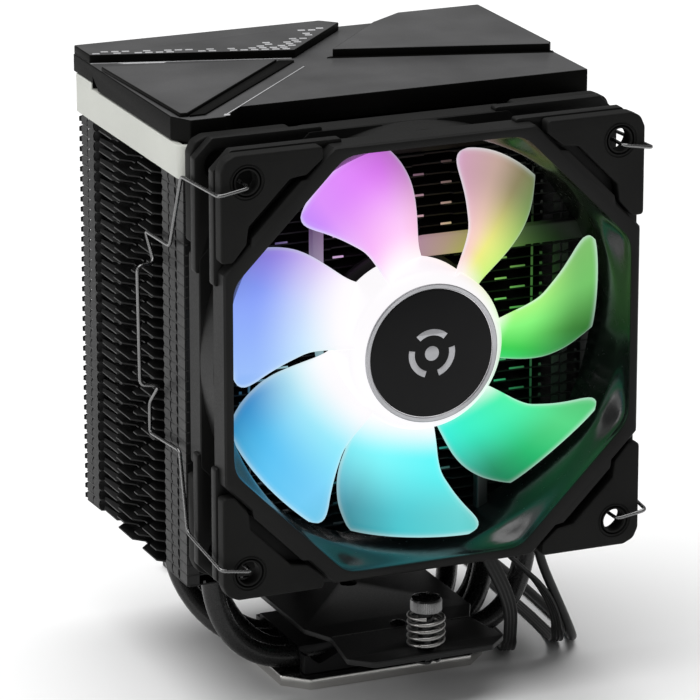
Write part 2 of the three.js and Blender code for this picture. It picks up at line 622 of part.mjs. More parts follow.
// ---- leads --------------------------------------------------------------------------------
// Three thin leads come out of a retainer under the fan's right corner, hang to the surface the
// cooler stands on, run back under the fins, and end in tied coils behind the tower.
const LEADS = {
  fan_lead: {
    radius: 0.9,
    route: [[21.5, -34, 40.4], [22.2, -34.2, 36.5], [25.2, -34, 30.5], [28, -33, 25], [30.6, -31, 18.5],
      [32.2, -27.8, 11.5], [33.8, -23.4, 5.2], [36, -17, 1.7], [38.2, -9, 0.9], [39.6, 6, 0.9],
      [38.4, 22, 0.9], [34.4, 38, 0.9], [29.2, 52, 0.9], [25.6, 63, 0.9], [25, 71, 0.9]],
    coil: { x: 2, y: 84, meanR: 23, halfWidth: 2.3, height: 4.2 },
    plug: { x: 4.2, y: 85, wide: 10.4, deep: 12, high: 5.6 },
  },
  fan_light_lead: {
    radius: 0.9,
    route: [[26.5, -34, 40.4], [27.4, -34.2, 37], [32, -33.6, 32], [37.4, -32.4, 26.6], [42, -30.4, 20.4],
      [45.8, -27.4, 13.4], [48.6, -23.2, 6.4], [51, -17, 2], [53, -8, 0.9], [54.5, 8, 0.9],
      [55.6, 28, 0.9], [56.6, 50, 0.9], [57.2, 72, 0.9], [57.3, 90, 0.9], [57.3, 104.4, 0.9]],
    coil: { x: 37.5, y: 116, meanR: 19.8, halfWidth: 2, height: 3.6 },
    plug: { x: 38.9, y: 117, wide: 8.4, deep: 12, high: 4.6 },
  },
  cover_light_lead: {
    radius: 1.3,
    route: [[36.8, -34, 40.4], [37.2, -34, 36.5], [39.4, -33, 30.5], [42.6, -31.4, 24], [46.4, -29, 17],
      [50.6, -25.4, 9.8], [54.4, -20.4, 4], [57.4, -13, 1.6], [59.4, -3, 1.3], [61, 14, 1.3],
      [62.2, 34, 1.3], [62.9, 56, 1.3], [63.2, 80, 1.3], [63.2, 104, 1.3], [63.2, 128, 1.3], [63.2, 144.6, 1.3]],
    coil: { x: 46, y: 156, meanR: 14.4, halfWidth: 4.2, height: 2.7 },
    plug: { x: 44.5, y: 154.8, wide: 7, deep: 12, high: 4.6 },
  },
};

function lead({ radius, route }) {
  const path = new THREE.CurvePath();
  path.add(new THREE.CatmullRomCurve3(route.map(([x, y, z]) => new THREE.Vector3(x, y, z))));
  return roundBar(path, [22], radius, 8);
}

function coil({ x, y, meanR, halfWidth, height }) {
  const [r0, r1] = [meanR - halfWidth, meanR + halfWidth];
  return turned([[r0, 0], [r1, 0], [r1, height], [r0, height], [r0, 0]], 20).translate(x, y, 0);
}

// The tie straddles the coil at its left side.
function tie({ x, y, meanR, halfWidth, height }) {
  const width = halfWidth + 0.7;
  const strap = 0.8;
  const shape = outline([
    [-width - strap, 0], [-width, 0], [-width, height + GAP], [width, height + GAP], [width, 0],
    [width + strap, 0], [width + strap, height + GAP + strap], [-width - strap, height + GAP + strap],
  ]);
  return new THREE.ExtrudeGeometry(shape, { depth: 5, bevelEnabled: false })
    .rotateX(Math.PI / 2).translate(x - meanR, y + 2.5, 0);
}

function plug({ x, y, wide, deep, high }) {
  const body = box(x - wide / 2, x + wide / 2, y - deep / 2, y + deep / 2, 0, high);
  const rib = box(x - wide / 4, x + wide / 4, y - deep / 4, y + deep / 4, high - 0.5, high + 0.9);
  return join(body, rib);
}

add(leads, 'lead_retainer', box(18.6, 40.6, -36.4, -32, 40.8, 43), BLACK_PLASTIC);
Object.entries(LEADS).forEach(([name, spec]) => {
  add(leads, name, lead(spec), CABLE);
  add(leads, `${name}_coil`, coil(spec.coil), CABLE);
  add(leads, `${name}_tie`, tie(spec.coil), TIE);
  add(leads, `${name}_plug`, plug(spec.plug), BLACK_PLASTIC);
});

export default cooler;
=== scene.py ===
# CPU tower cooler: the looks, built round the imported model. Lengths are in millimetres unless a name
# says otherwise, and MM turns them into metres. The fan faces -Y and +Z is up.
from math import atan2, cos, pi, radians, sin, sqrt, tan

import bpy
import bmesh
from mathutils import Matrix, Vector


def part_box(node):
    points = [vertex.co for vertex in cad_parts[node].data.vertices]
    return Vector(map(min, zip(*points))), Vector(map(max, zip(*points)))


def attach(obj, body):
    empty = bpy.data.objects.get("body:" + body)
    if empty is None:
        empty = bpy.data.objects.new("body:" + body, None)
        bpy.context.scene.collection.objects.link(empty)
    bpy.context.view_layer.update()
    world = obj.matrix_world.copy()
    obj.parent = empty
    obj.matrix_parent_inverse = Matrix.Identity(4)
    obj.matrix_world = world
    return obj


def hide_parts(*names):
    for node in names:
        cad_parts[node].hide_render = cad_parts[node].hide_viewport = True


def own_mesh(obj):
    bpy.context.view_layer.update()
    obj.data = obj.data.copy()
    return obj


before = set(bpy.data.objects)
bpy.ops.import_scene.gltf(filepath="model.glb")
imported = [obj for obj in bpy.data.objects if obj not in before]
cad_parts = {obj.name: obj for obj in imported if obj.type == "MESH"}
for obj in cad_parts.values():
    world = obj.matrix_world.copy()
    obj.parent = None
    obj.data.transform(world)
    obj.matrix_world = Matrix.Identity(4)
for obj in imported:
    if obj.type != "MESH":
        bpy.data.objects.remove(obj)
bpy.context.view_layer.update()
MM = 0.001

# ---- places read from the frame ----


def box_mm(node):
    low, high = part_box(node)
    return low / MM, high / MM


FAN_LOW, FAN_HIGH = box_mm("fan_frame")
FAN_Z = (FAN_LOW.z + FAN_HIGH.z) / 2
HOLE = 52.5  # from the fan's axis to each corner hole, along X and Z
FIN_LOW, FIN_HIGH = box_mm("fin_stack")
COVER_LOW, COVER_HIGH = box_mm("top_cover")
COVER_TOP = COVER_HIGH.z
RAISED_TOP = box_mm("cover_plate_rear_left")[1].z
PLATE_HIGH = box_mm("base_plate")[1]

# ---- camera ----

LENS = 255.6
CAMERA_AT = (-505.7, -1172.0, 488.1)
CAMERA_TARGET = (-24.2, -49.0, 104.1)


def add_camera():
    data = bpy.data.cameras.new("camera")
    data.sensor_width = 36
    data.lens = LENS
    data.clip_start = 0.05
    camera = bpy.data.objects.new("camera", data)
    camera.location = Vector(CAMERA_AT) * MM
    target = Vector(CAMERA_TARGET) * MM
    camera.rotation_euler = (target - camera.location).to_track_quat("-Z", "Y").to_euler()
    bpy.context.scene.collection.objects.link(camera)
    bpy.context.scene.camera = camera


add_camera()

# ---- materials ----


def new_material(name, slot, color, roughness, metallic=0.0):
    material = bpy.data.materials.new(name)
    material.use_nodes = True
    material["slot"] = slot
    shader = material.node_tree.nodes["Principled BSDF"]
    shader.inputs["Base Color"].default_value = (*color, 1)
    shader.inputs["Roughness"].default_value = roughness
    shader.inputs["Metallic"].default_value = metallic
    return material


def node(material, kind, inputs, **settings):
    """A shader node, its settings and its inputs: sockets are linked, numbers are set."""
    tree = material.node_tree
    made = tree.nodes.new("ShaderNode" + kind)
    for key, value in settings.items():
        setattr(made, key, value)
    for key, value in inputs.items():
        if isinstance(value, bpy.types.NodeSocket):
            tree.links.new(value, made.inputs[key])
        else:
            made.inputs[key].default_value = value
    return made


def shader_of(material):
    return material.node_tree.nodes["Principled BSDF"]


def link(material, socket, name):
    material.node_tree.links.new(socket, shader_of(material).inputs[name])


def place(material, scale=(1, 1, 1)):
    """Object coordinates in metres, stretched by scale."""
    coordinates = node(material, "TexCoord", {}).outputs["Object"]
    return node(material, "Mapping", {"Vector": coordinates, "Scale": scale}).outputs["Vector"]


def noise(material, scale, detail=3.0, stretch=(1, 1, 1)):
    made = node(material, "TexNoise", {"Vector": place(material, stretch), "Scale": scale,
        "Detail": detail})
    return made.outputs["Fac"]


def ramp(material, value, *stops):
    """A colour ramp through (position, colour) stops."""
    made = node(material, "ValToRGB", {"Fac": value})
    elements = made.color_ramp.elements
    while len(elements) < len(stops):
        elements.new(0.5)
    for element, (position, color) in zip(elements, stops):
        element.position = position
        element.color = (*color, 1) if len(color) == 3 else color
    return made.outputs["Color"]


def shade(color, factor):
    return tuple(channel * factor for channel in color)


def spread(material, value, low, high):
    made = node(material, "MapRange", {"Value": value, "From Min": 0.3, "From Max": 0.7, "To Min": low,
        "To Max": high})
    return made.outputs["Result"]


def bump(material, height, strength, distance_mm):
    made = node(material, "Bump", {"Height": height, "Strength": strength, "Distance": distance_mm * MM})
    link(material, made.outputs["Normal"], "Normal")


def finished(name, slot, color, roughness, metallic=0.0, grain_mm=0.4, depth_mm=0.02, strength=0.25,
        patch_mm=18, stretch=(1, 1, 1), variation=0.18, gloss=0.2):
    """A surface with fine grain, a slow change of tone and roughness, and a little relief."""
    material = new_material(name, slot, color, roughness, metallic)
    shader_of(material).inputs["Specular IOR Level"].default_value = gloss
    patches = noise(material, 1000 / patch_mm, 4.0)
    tones = ramp(material, patches, (0.3, shade(color, 1 - variation)), (0.7, shade(color, 1 + variation)))
    link(material, tones, "Base Color")
    grain = noise(material, 1000 / grain_mm, 2.0, stretch)
    link(material, spread(material, grain, roughness - 0.05, roughness + 0.06), "Roughness")
    bump(material, grain, strength, depth_mm)
    return material


# Light colours of the rotor by direction from +X towards +Z, seen from the front: near the hub and at
# the blade tips.
LED_INNER = [
    (-180, (0.62, 0.92, 1.0)), (-156, (0.44, 0.88, 1.0)), (-132, (0.26, 0.88, 1.0)),
        (-106, (0.18, 0.96, 1.0)),
    (-84, (0.06, 0.92, 0.93)), (-60, (0.01, 0.88, 0.58)), (-36, (0.05, 0.90, 0.40)),
        (-12, (0.03, 0.62, 0.06)),
    (4, (0.24, 0.95, 0.19)), (30, (0.55, 0.92, 0.2)), (50, (0.88, 0.84, 0.22)), (62, (0.95, 0.66, 0.50)),
    (78, (0.95, 0.55, 0.72)), (96, (1.0, 0.60, 0.98)), (118, (0.97, 0.50, 0.97)), (140, (0.80, 0.70, 1.0)),
    (160, (0.68, 0.82, 1.0)), (180, (0.62, 0.92, 1.0)),
]
LED_OUTER = [
    (-180, (0.32, 0.52, 1.0)), (-166, (0.02, 0.32, 0.80)), (-154, (0.06, 0.52, 0.92)),
        (-132, (0.15, 0.62, 0.95)),
    (-110, (0.07, 0.42, 0.52)), (-94, (0.07, 0.60, 0.66)), (-78, (0.12, 0.66, 0.66)),
        (-58, (0.01, 0.34, 0.15)),
    (-46, (0.01, 0.52, 0.16)), (-32, (0.08, 0.70, 0.23)), (-4, (0.04, 0.26, 0.03)),
        (12, (0.17, 0.56, 0.13)),
    (34, (0.20, 0.50, 0.12)), (52, (0.30, 0.26, 0.12)), (64, (0.56, 0.38, 0.33)), (78, (0.62, 0.34, 0.46)),
    (100, (0.80, 0.20, 1.0)), (124, (0.74, 0.28, 1.0)), (138, (0.40, 0.22, 1.0)), (156, (0.24, 0.34, 1.0)),
    (180, (0.32, 0.52, 1.0)),
]


def led_material(name, slot, color, roughness, spill=0.0):
    """Plastic lit from the hub: white at the hub, then pale, then deeper hues at the tips.

    With `spill` set, it is a dark part that only catches some of that light close to the hub.
    """
    material = new_material(name, slot, color, roughness)

    def maths(operation, a, b):
        return node(material, "Math", {0: a, 1: b}, operation=operation).outputs[0]

    def between(value, start, end, low=0.0, high=1.0):
        made = node(material, "MapRange", {"Value": value, "From Min": start, "From Max": end,
            "To Min": low, "To Max": high})
        made.interpolation_type = "SMOOTHSTEP"
        return made.outputs["Result"]

    def mixed(factor, first, second):
        return node(material, "Mix", {"Factor": factor, 6: first, 7: second}, data_type="RGBA").outputs[2]

    parts = node(material, "SeparateXYZ", {"Vector": node(material, "NewGeometry",
        {}).outputs["Position"]}).outputs
    across = maths("MULTIPLY", parts["X"], 1 / MM)
    up = maths("MULTIPLY", maths("ADD", parts["Z"], -FAN_Z * MM), 1 / MM)
    angle = maths("ARCTAN2", up, across)
    turn = node(material, "MapRange", {"Value": angle, "From Min": -pi, "From Max": pi}).outputs["Result"]
    radius = maths("POWER", maths("ADD", maths("POWER", across, 2.0), maths("POWER", up, 2.0)), 0.5)
    inner, outer = (ramp(material, turn, *[((degrees + 180) / 360, color) for degrees,
        color in hues]) for hues in (LED_INNER, LED_OUTER))
    hues = mixed(between(radius, 30.0, 49.0), inner, outer)
    if spill:
        link(material, hues, "Emission Color")
        link(material, between(radius, 24.0, 52.0, spill, 0.0), "Emission Strength")
        bump(material, noise(material, 2600, 2.0), 0.15, 0.02)
        return material
    # the glow round the hub reaches further on the left
    reach = maths("ADD", radius, maths("MULTIPLY", across, 0.16))
    hues = mixed(between(reach, 20.0, 31.0), (1.0, 0.98, 1.0, 1), hues)
    rim = node(material, "Attribute", {}, attribute_name="edge").outputs["Fac"]
    hues = mixed(rim, hues, (0.75, 0.9, 0.9, 1))
    link(material, hues, "Emission Color")
    # painted shade: the glow is turned down by dim near the blades' back edges
    dim = node(material, "Attribute", {}, attribute_name="dim").outputs["Fac"]
    link(material, maths("SUBTRACT", 0.95, dim), "Emission Strength")
    bump(material, noise(material, 2600, 2.0), 0.15, 0.02)
    return material


BLACK = (0.010, 0.010, 0.0105)
M = {
    "fins": finished("fin_black", "black_metal", (0.008, 0.008, 0.008), 0.42, 0.1, grain_mm=0.6,
        depth_mm=0.01, gloss=0.14),
    "metal": finished("satin_black_metal", "black_metal", BLACK, 0.34, 0.25, grain_mm=0.5, depth_mm=0.012),
    "bar": finished("stamped_black_metal", "black_metal", (0.010, 0.010, 0.010), 0.34, 0.2, grain_mm=0.35),
    # The two cover materials are one plastic in a lit and a shaded copy: painted light on the faces that
    # look up, painted shade on the others.
    "cover_top_painted_light": finished("cover_top_painted_light", "cover_plastic", (0.068, 0.068, 0.069), 0.36, grain_mm=0.22,
        depth_mm=0.008),
    "cover_side_painted_shade": finished("cover_side_painted_shade", "cover_plastic", (0.003, 0.003, 0.0027), 0.5, grain_mm=0.3,
        depth_mm=0.01, gloss=0.04),
    "print": finished("silver_print", "silver_trim", (0.50, 0.50, 0.51), 0.45, 0.2, grain_mm=0.2,
        depth_mm=0.004),
    "diffuser": finished("milky_diffuser", "diffuser", (0.52, 0.53, 0.49), 0.5, grain_mm=0.8,
        depth_mm=0.008, variation=0.04, patch_mm=30),
    "frame": finished("frame_plastic", "black_plastic", (0.008, 0.008, 0.0077), 0.48, grain_mm=0.35,
        depth_mm=0.02, gloss=0.12),
    "gloss": finished("duct_gloss", "black_plastic", (0.006, 0.006, 0.0065), 0.22, grain_mm=2.2,
        depth_mm=0.01, gloss=0.6),
    "rubber": finished("pad_rubber", "rubber", (0.007, 0.007, 0.0066), 0.62, grain_mm=0.3, depth_mm=0.03,
        strength=0.4, gloss=0.12),
    "badge": finished("badge_black", "black_plastic", (0.006, 0.006, 0.0065), 0.38, grain_mm=0.15,
        depth_mm=0.004, gloss=0.12),
    "ring": finished("ring_silver", "silver_trim", (0.46, 0.46, 0.48), 0.34, 0.7, grain_mm=0.3,
        depth_mm=0.004),
    "nickel": finished("nickel_plate", "nickel_plate", (0.60, 0.59, 0.57), 0.20, 1.0, grain_mm=0.25,
        depth_mm=0.006, stretch=(0.04, 1, 1), variation=0.06),
    "steel": finished("bright_steel", "steel", (0.50, 0.50, 0.50), 0.24, 1.0, grain_mm=0.5, depth_mm=0.006),
    "board": finished("solder_mask", "board", (0.010, 0.022, 0.014), 0.35, grain_mm=0.8),
    "bronze": finished("sintered_bronze", "bronze", (0.40, 0.25, 0.10), 0.4, 1.0, grain_mm=0.3),
    "copper": finished("copper_winding", "copper_wire", (0.52, 0.20, 0.08), 0.3, 1.0, grain_mm=0.5,
        depth_mm=0.1, stretch=(1, 8, 1), strength=0.6),
    "magnet": finished("ferrite", "magnet", (0.03, 0.03, 0.032), 0.55, 0.4, grain_mm=0.4),
    "cable": finished("lead_insulation", "cable_sleeve", (0.010, 0.010, 0.010), 0.40, grain_mm=0.5,
        depth_mm=0.02),
    "connector": finished("connector_plastic", "black_plastic", (0.014, 0.014, 0.014), 0.48, grain_mm=0.4),
    "tie": finished("tie_plastic", "tie_plastic", (0.014, 0.014, 0.014), 0.5, grain_mm=0.3),
    "led": led_material("led_plastic", "translucent_plastic", (0.035, 0.035, 0.04), 0.42),
    "lit_frame": led_material("lit_frame_plastic", "black_plastic", (0.012, 0.012, 0.012), 0.45, spill=0.4),
    "lit_tabs": led_material("lit_fin_tabs", "black_metal", (0.016, 0.016, 0.016), 0.35, spill=0.6),
}

# ---- mesh helpers ----


def finish_object(name, mesh, material, body="root", replaces=(), sharp=35):
    """A piece made of the mesh, smoothed up to an angle and tied to its body and slot."""
    if not mesh.materials:
        mesh.materials.append(material)
    mesh.shade_smooth()
    mesh.set_sharp_from_angle(angle=radians(sharp))
    obj = bpy.data.objects.new(name, mesh)
    bpy.context.scene.collection.objects.link(obj)
    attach(obj, body)
    if replaces:
        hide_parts(*replaces)
    return obj


def new_mesh(points, faces, name="mesh"):
    mesh = bpy.data.meshes.new(name)
    mesh.from_pydata([Vector(p) * MM for p in points], [], faces)
    tidy_mesh(mesh)
    return mesh


def mesh_object(name, points, faces, material, body="root", replaces=(), sharp=35):
    return finish_object(name, new_mesh(points, faces, name), material, body, replaces, sharp)


def tidy_mesh(mesh):
    """Merges doubled points and turns every face outwards."""
    work = bmesh.new()
    work.from_mesh(mesh)
    bmesh.ops.remove_doubles(work, verts=work.verts, dist=1e-7)
    bmesh.ops.dissolve_degenerate(work, edges=work.edges, dist=1e-7)
    bmesh.ops.recalc_face_normals(work, faces=work.faces)
    work.to_mesh(mesh)
    work.free()


def evaluated_mesh(obj):
    """The mesh of an object with its modifiers applied, after which the object is removed."""
    scene = bpy.context.scene
    scene.collection.objects.link(obj)
    graph = bpy.context.evaluated_depsgraph_get()
    mesh = bpy.data.meshes.new_from_object(obj.evaluated_get(graph))
    bpy.data.objects.remove(obj)
    return mesh


def rounded(points, radius, steps=4):
    """An outline with its corners rounded. A point may carry its own radius as a third number."""
    result = []
    for i, point in enumerate(points):
        here = Vector(point[:2])
        size = point[2] if len(point) > 2 else radius
        before = Vector(points[i - 1][:2]) - here
        after = Vector(points[(i + 1) % len(points)][:2]) - here
        if size <= 0:
            result.append(tuple(here))
            continue
        reach = size / tan(before.angle(after) / 2)
        start = here + before.normalized() * min(reach, 0.48 * before.length)
        end = here + after.normalized() * min(reach, 0.48 * after.length)
        for k in range(steps + 1):
            t = k / steps
            result.append(tuple(start * (1 - t) ** 2 + here * 2 * t * (1 - t) + end * t * t))
    return result


def circle(radius, x=0.0, y=0.0, count=32):
    turns = [2 * pi * i / count for i in range(count)]
    return [(x + radius * cos(a), y + radius * sin(a)) for a in turns]


def rectangle(x0, y0, x1, y1):
    return [(x0, y0), (x1, y0), (x1, y1), (x0, y1)]


def mirrored(points):
    """An outline given for x > 0, joined with its mirror image."""
    return list(points) + [(-p[0], *p[1:]) for p in reversed(points)]


PLANS = {
    "flat": Matrix.Identity(3),
    "frontal": Matrix(((1, 0, 0), (0, 0, -1), (0, 1, 0))),
    "side": Matrix(((0, 0, 1), (1, 0, 0), (0, 1, 0))),
}


def plate_mesh(loops, low, high, bevel=0.2, plan="flat", centre=(0, 0, 0), steps=2):
    """A plate with rounded edges. The first loop is its outline and the others are holes. `flat` loops
    are in X and Y, `frontal` ones in X and Z seen from the front, and `side` ones in Y and Z."""
    curve = bpy.data.curves.new("outline", "CURVE")
    curve.dimensions = "2D"
    curve.fill_mode = "BOTH"
    curve.extrude = ((high - low) / 2 - bevel) * MM
    curve.bevel_depth = bevel * MM
    curve.bevel_resolution = steps - 1
    curve.offset = -bevel * MM
    for loop in loops:
        spline = curve.splines.new("POLY")
        spline.points.add(len(loop) - 1)
        for point, (u, v) in zip(spline.points, loop):
            point.co = (u * MM, v * MM, 0, 1)
        spline.use_cyclic_u = True
    mesh = evaluated_mesh(bpy.data.objects.new("outline", curve))
    middle = (low + high) / 2
    offset = {"flat": (0, 0, middle), "frontal": (0, middle, 0), "side": (middle, 0, 0)}[plan]
    place_at = Matrix.Translation((Vector(offset) + Vector(centre)) * MM)
    mesh.transform(place_at @ PLANS[plan].to_4x4())
    tidy_mesh(mesh)
    return mesh


def plate(name, loops, low, high, material, body="root", replaces=(), **options):
    mesh = plate_mesh(loops, low, high, **options)
    return finish_object(name, mesh, material, body, replaces)


def joined_mesh(meshes):
    work = bmesh.new()
    for mesh in meshes:
        work.from_mesh(mesh)
    result = bpy.data.meshes.new("joined")
    work.to_mesh(result)
    work.free()
    return result


def skin(rings, loop=False, capped=True):
    """Points and faces of the surface through rings of equally many points."""
    count = len(rings[0])
    points = [tuple(p) for ring in rings for p in ring]
    faces = []
    for r in range(len(rings) if loop else len(rings) - 1):
        first, second = r * count, ((r + 1) % len(rings)) * count
        for i in range(count):
            j = (i + 1) % count
            faces.append((first + i, first + j, second + j, second + i))
    if capped and not loop:
        faces.append(tuple(range(count)))
        faces.append(tuple((len(rings) - 1) * count + i for i in reversed(range(count))))
    return points, faces


def lathe(name, profile, material, axis="z", centre=(0, 0, 0), count=48, body="root", replaces=(), sharp=35,
        loop=False):
    """A profile of (radius, height) turned round an axis through centre. It starts and ends on the
    axis, or closes on itself when loop is set."""
    rings = []
    for radius, height in profile:
        ring = []
        for i in range(count):
            a = 2 * pi * i / count
            across, up = radius * cos(a), radius * sin(a)
            local = (across, up, height) if axis == "z" else (across, height, up)
            ring.append(Vector(local) + Vector(centre))
        rings.append(ring)
    return mesh_object(name, *skin(rings, loop=loop, capped=False), material, body, replaces, sharp)


def catmull(points, step):
    """A smooth line through the points, with about `step` between the new points."""
    points = [Vector(p) for p in points]
    ends = [2 * points[0] - points[1], *points, 2 * points[-1] - points[-2]]
    line = []
    for i in range(1, len(ends) - 2):
        p0, p1, p2, p3 = ends[i - 1:i + 3]
        count = max(1, round((p2 - p1).length / step))
        for k in range(count):
            t = k / count
            line.append(0.5 * (2 * p1 + (p2 - p0) * t + (2 * p0 - 5 * p1 + 4 * p2 - p3) * t * t
                + (3 * p1 - p0 - 3 * p2 + p3) * t ** 3))
    line.append(points[-1])
    return line


def bent(points, bend, steps=5):
    """Straight runs between the points with a rounded bend at each inner one."""
    points = [Vector(p) for p in points]
    line = [points[0]]
    for before, here, after in zip(points, points[1:], points[2:]):
        back, ahead = before - here, after - here
        reach = min(bend, 0.45 * back.length, 0.45 * ahead.length)
        start, end = here + back.normalized() * reach, here + ahead.normalized() * reach
        for k in range(steps + 1):
            t = k / steps
            line.append(start * (1 - t) ** 2 + here * 2 * t * (1 - t) + end * t * t)
    line.append(points[-1])
    return line


def tangents(line):
    ahead = [b - a for a, b in zip(line, line[1:])]
    inner = [(a + b).normalized() for a, b in zip(ahead, ahead[1:])]
    return [ahead[0].normalized(), *inner, ahead[-1].normalized()]


def tube(name, line, radius, material, sides=12, body="root", replaces=(), domed=False):
    """A round bar along a line. Every ring keeps the direction of the ring before it."""
    across = Vector((0.31, 0.93, 0.19))
    rings = []
    directions = tangents(line)
    stations = [(p, t, radius) for p, t in zip(line, directions)]
    if domed:
        first, last = stations[0], stations[-1]
        head = [(first[0] - first[1] * radius * c, first[1], radius * s) for c,
            s in ((0.55, 0.35), (0.35, 0.8))]
        tail = [(last[0] + last[1] * radius * c, last[1], radius * s) for c,
            s in ((0.35, 0.8), (0.55, 0.35))]
        stations = [*head, *stations, *tail]
    for point, direction, size in stations:
        across = (across - direction * across.dot(direction)).normalized()
        other = direction.cross(across)
        turns = [2 * pi * i / sides for i in range(sides)]
        rings.append([point + (across * cos(a) + other * sin(a)) * size for a in turns])
    return mesh_object(name, *skin(rings), material, body, replaces, sharp=50)


def cut_away(mesh, cutters):
    """The mesh with each cutter mesh taken away from it."""
    for cutter in cutters:
        target = bpy.data.objects.new("target", mesh)
        tool = bpy.data.objects.new("tool", cutter)
        bpy.context.scene.collection.objects.link(tool)
        modifier = target.modifiers.new("cut", "BOOLEAN")
        modifier.operation = "DIFFERENCE"
        modifier.object = tool
        modifier.solver = "EXACT"
        mesh = evaluated_mesh(target)
        bpy.data.objects.remove(tool)
    return mesh


def block_mesh(low, high):
    work = bmesh.new()
    bmesh.ops.create_cube(work, size=1.0)
    low, high = Vector(low) * MM, Vector(high) * MM
    size = high - low
    for vert in work.verts:
        vert.co = Vector(v * s for v, s in zip(vert.co, size)) + (low + high) / 2
    mesh = bpy.data.meshes.new("block")
    work.to_mesh(mesh)
    work.free()
    return mesh


def paint_side_shade(obj, painted_shade_material):
    """Gives the faces that don't look straight up a second, darker material: painted shade on the sides,
    against a lit top.
    """
    mesh = obj.data
    mesh.materials.append(painted_shade_material)
    for polygon in mesh.polygons:
        if polygon.normal.z < 0.95:
            polygon.material_index = 1


def keep_node(name, material):
    """A CAD node whose shape stays, with a better material."""
    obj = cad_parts[name]
    obj.data.materials.clear()
    obj.data.materials.append(material)


# ---- leads: three thin ones hang from the fan and end in tied coils behind the tower ----

LEADS = {
    "fan_lead": dict(
        wires=4, diameter=4.2, length=0.49, exit=(21.5, -34, 40.4), centre=(2, 84), start=24.6, end=21.4,
        height=2.15, turns=2, bend=8.8, end_x=4.2,
        route=[
            (21.5, -34, 40.6), (22.2, -34.2, 36.5), (25.2, -34, 30.5), (28, -33, 25), (30.6, -31, 18.5),
            (32.2, -27.8, 11.5), (33.8, -23.4, 5.2), (36, -17, 1.7), (38.2, -9, 0.75), (39.6, 6, 0.62),
            (38.6, 22, 0.62), (35, 38, 0.62), (30.4, 52, 0.7), (27.4, 64, 1.4), (26.7, 75, 2.1)]),
    "fan_light_lead": dict(
        wires=4, diameter=3.6, length=0.46, exit=(26.5, -34, 40.4), centre=(37.5, 116), start=21.2,
        end=18.3, height=1.85, turns=2, bend=7.5, end_x=38.9,
        route=[
            (26.5, -34, 40.6), (27.4, -34.2, 37), (32, -33.6, 32), (37.4, -32.4, 26.6), (42, -30.4, 20.4),
            (45.8, -27.4, 13.4), (48.6, -23.2, 6.4), (51, -17, 2), (53, -8, 0.75), (54.5, 8, 0.55),
            (55.6, 28, 0.55), (56.8, 50, 0.55), (57.8, 72, 0.6), (58.5, 90, 1.1), (58.7, 104, 1.75)]),
}
COVER_LEAD = dict(
    length=0.44, exit=(36.8, -34, 40.4), centre=(46, 156), start=17.2, end=11.65, height=1.35, turns=2,
    bend=5.3, end_x=44.5,
    route=[
        (36.8, -34, 40.6), (37.2, -34, 36.5), (39.4, -33, 30.5), (42.6, -31.4, 24), (46.4, -29, 17),
        (50.6, -25.4, 9.8), (54.4, -20.4, 4), (57.4, -13, 1.6), (59.4, -3, 1.32), (61, 14, 1.32),
        (62.2, 34, 1.32), (62.9, 56, 1.32), (63.2, 80, 1.32), (63.2, 104, 1.32), (63.2, 128, 1.32),
        (63.2, 144.6, 1.32)])


def ribbon_section(wires, width):
    """The outline of several small wires moulded side by side, as (across, up) pairs."""
    radius = width / (2 * wires) * 1.04
    centres = [(i - (wires - 1) / 2) * width / wires for i in range(wires)]
    arc = [radians(a) for a in (132, 108, 84, 60, 44)]
    top = [(c + radius * cos(a), radius * sin(a)) for c in centres for a in arc]
    right = (width / 2, 0.0)
    return [*top, right, *[(u, -v) for u, v in reversed(top)], (-width / 2, 0.0)]


def ribbon_line(lead):
    """The centreline with, at each point, how far the ribbon has turned up on its edge (0 to 1)."""
    cx, cy = lead["centre"]
    first, last, bend = lead["start"], lead["end"], lead["bend"]
    reach_x = lead["end_x"] + bend - cx
    reach = last - bend
    reach_y = sqrt(reach ** 2 - reach_x ** 2)
    final = 2 * pi * lead["turns"] + atan2(reach_y, reach_x)
    route = [*lead["route"], (cx + first, cy, lead["height"])]
    line = catmull(route, 2.2)
    twist_from = cy - 30
    points = [(p, min(1.0, max(0.0, (p.y - twist_from) / 26)) if p.z < 4 else 0.0) for p in line]
    steps = round(final * lead["start"] / 2.2)
    for i in range(1, steps + 1):
        angle = final * i / steps
        radius = first + (last - first) * i / steps
        points.append((Vector((cx + radius * cos(angle), cy + radius * sin(angle), lead["height"])), 1.0))
    turn_centre = Vector((cx + reach_x, cy + reach_y, 0))
    start_angle = final % (2 * pi)
    lift = 2.6 - lead["height"]
    inner = 14
    for i in range(1, inner + 1):
        angle = start_angle + (pi - start_angle) * i / inner
        spot = turn_centre + Vector((cos(angle), sin(angle), 0)) * bend
        spot.z = lead["height"] + lift * i / inner
        points.append((spot, 1 - i / inner))
    points.append((points[-1][0] + Vector((0, -1.6, 0)), 0.0))
    return points


def ribbon(name, lead):
    stations = ribbon_line(lead)
    line = [p for p, _ in stations]
    section = ribbon_section(lead["wires"], lead["diameter"])
    rings = []
    before = Vector((1, 0, 0))
    for (point, edge), along in zip(stations, tangents(line)):
        level = along.cross(Vector((0, 0, 1)))
        flat = before - along * before.dot(along) if level.length < 0.6 else level
        flat.normalize()
        before = flat
        upright = (Vector((0, 0, 1)) - along * along.z).normalized() if edge > 0 else flat
        across = (flat * cos(edge * pi / 2) + upright * sin(edge * pi / 2)).normalized()
        thick = along.cross(across).normalized()
        rings.append([point + across * u + thick * v for u, v in section])
    obj = mesh_object(name + "_ribbon", *skin(rings), M["cable"], replaces=(name, name + "_coil"), sharp=60)
    return obj, [tuple(p * MM) for p in line]


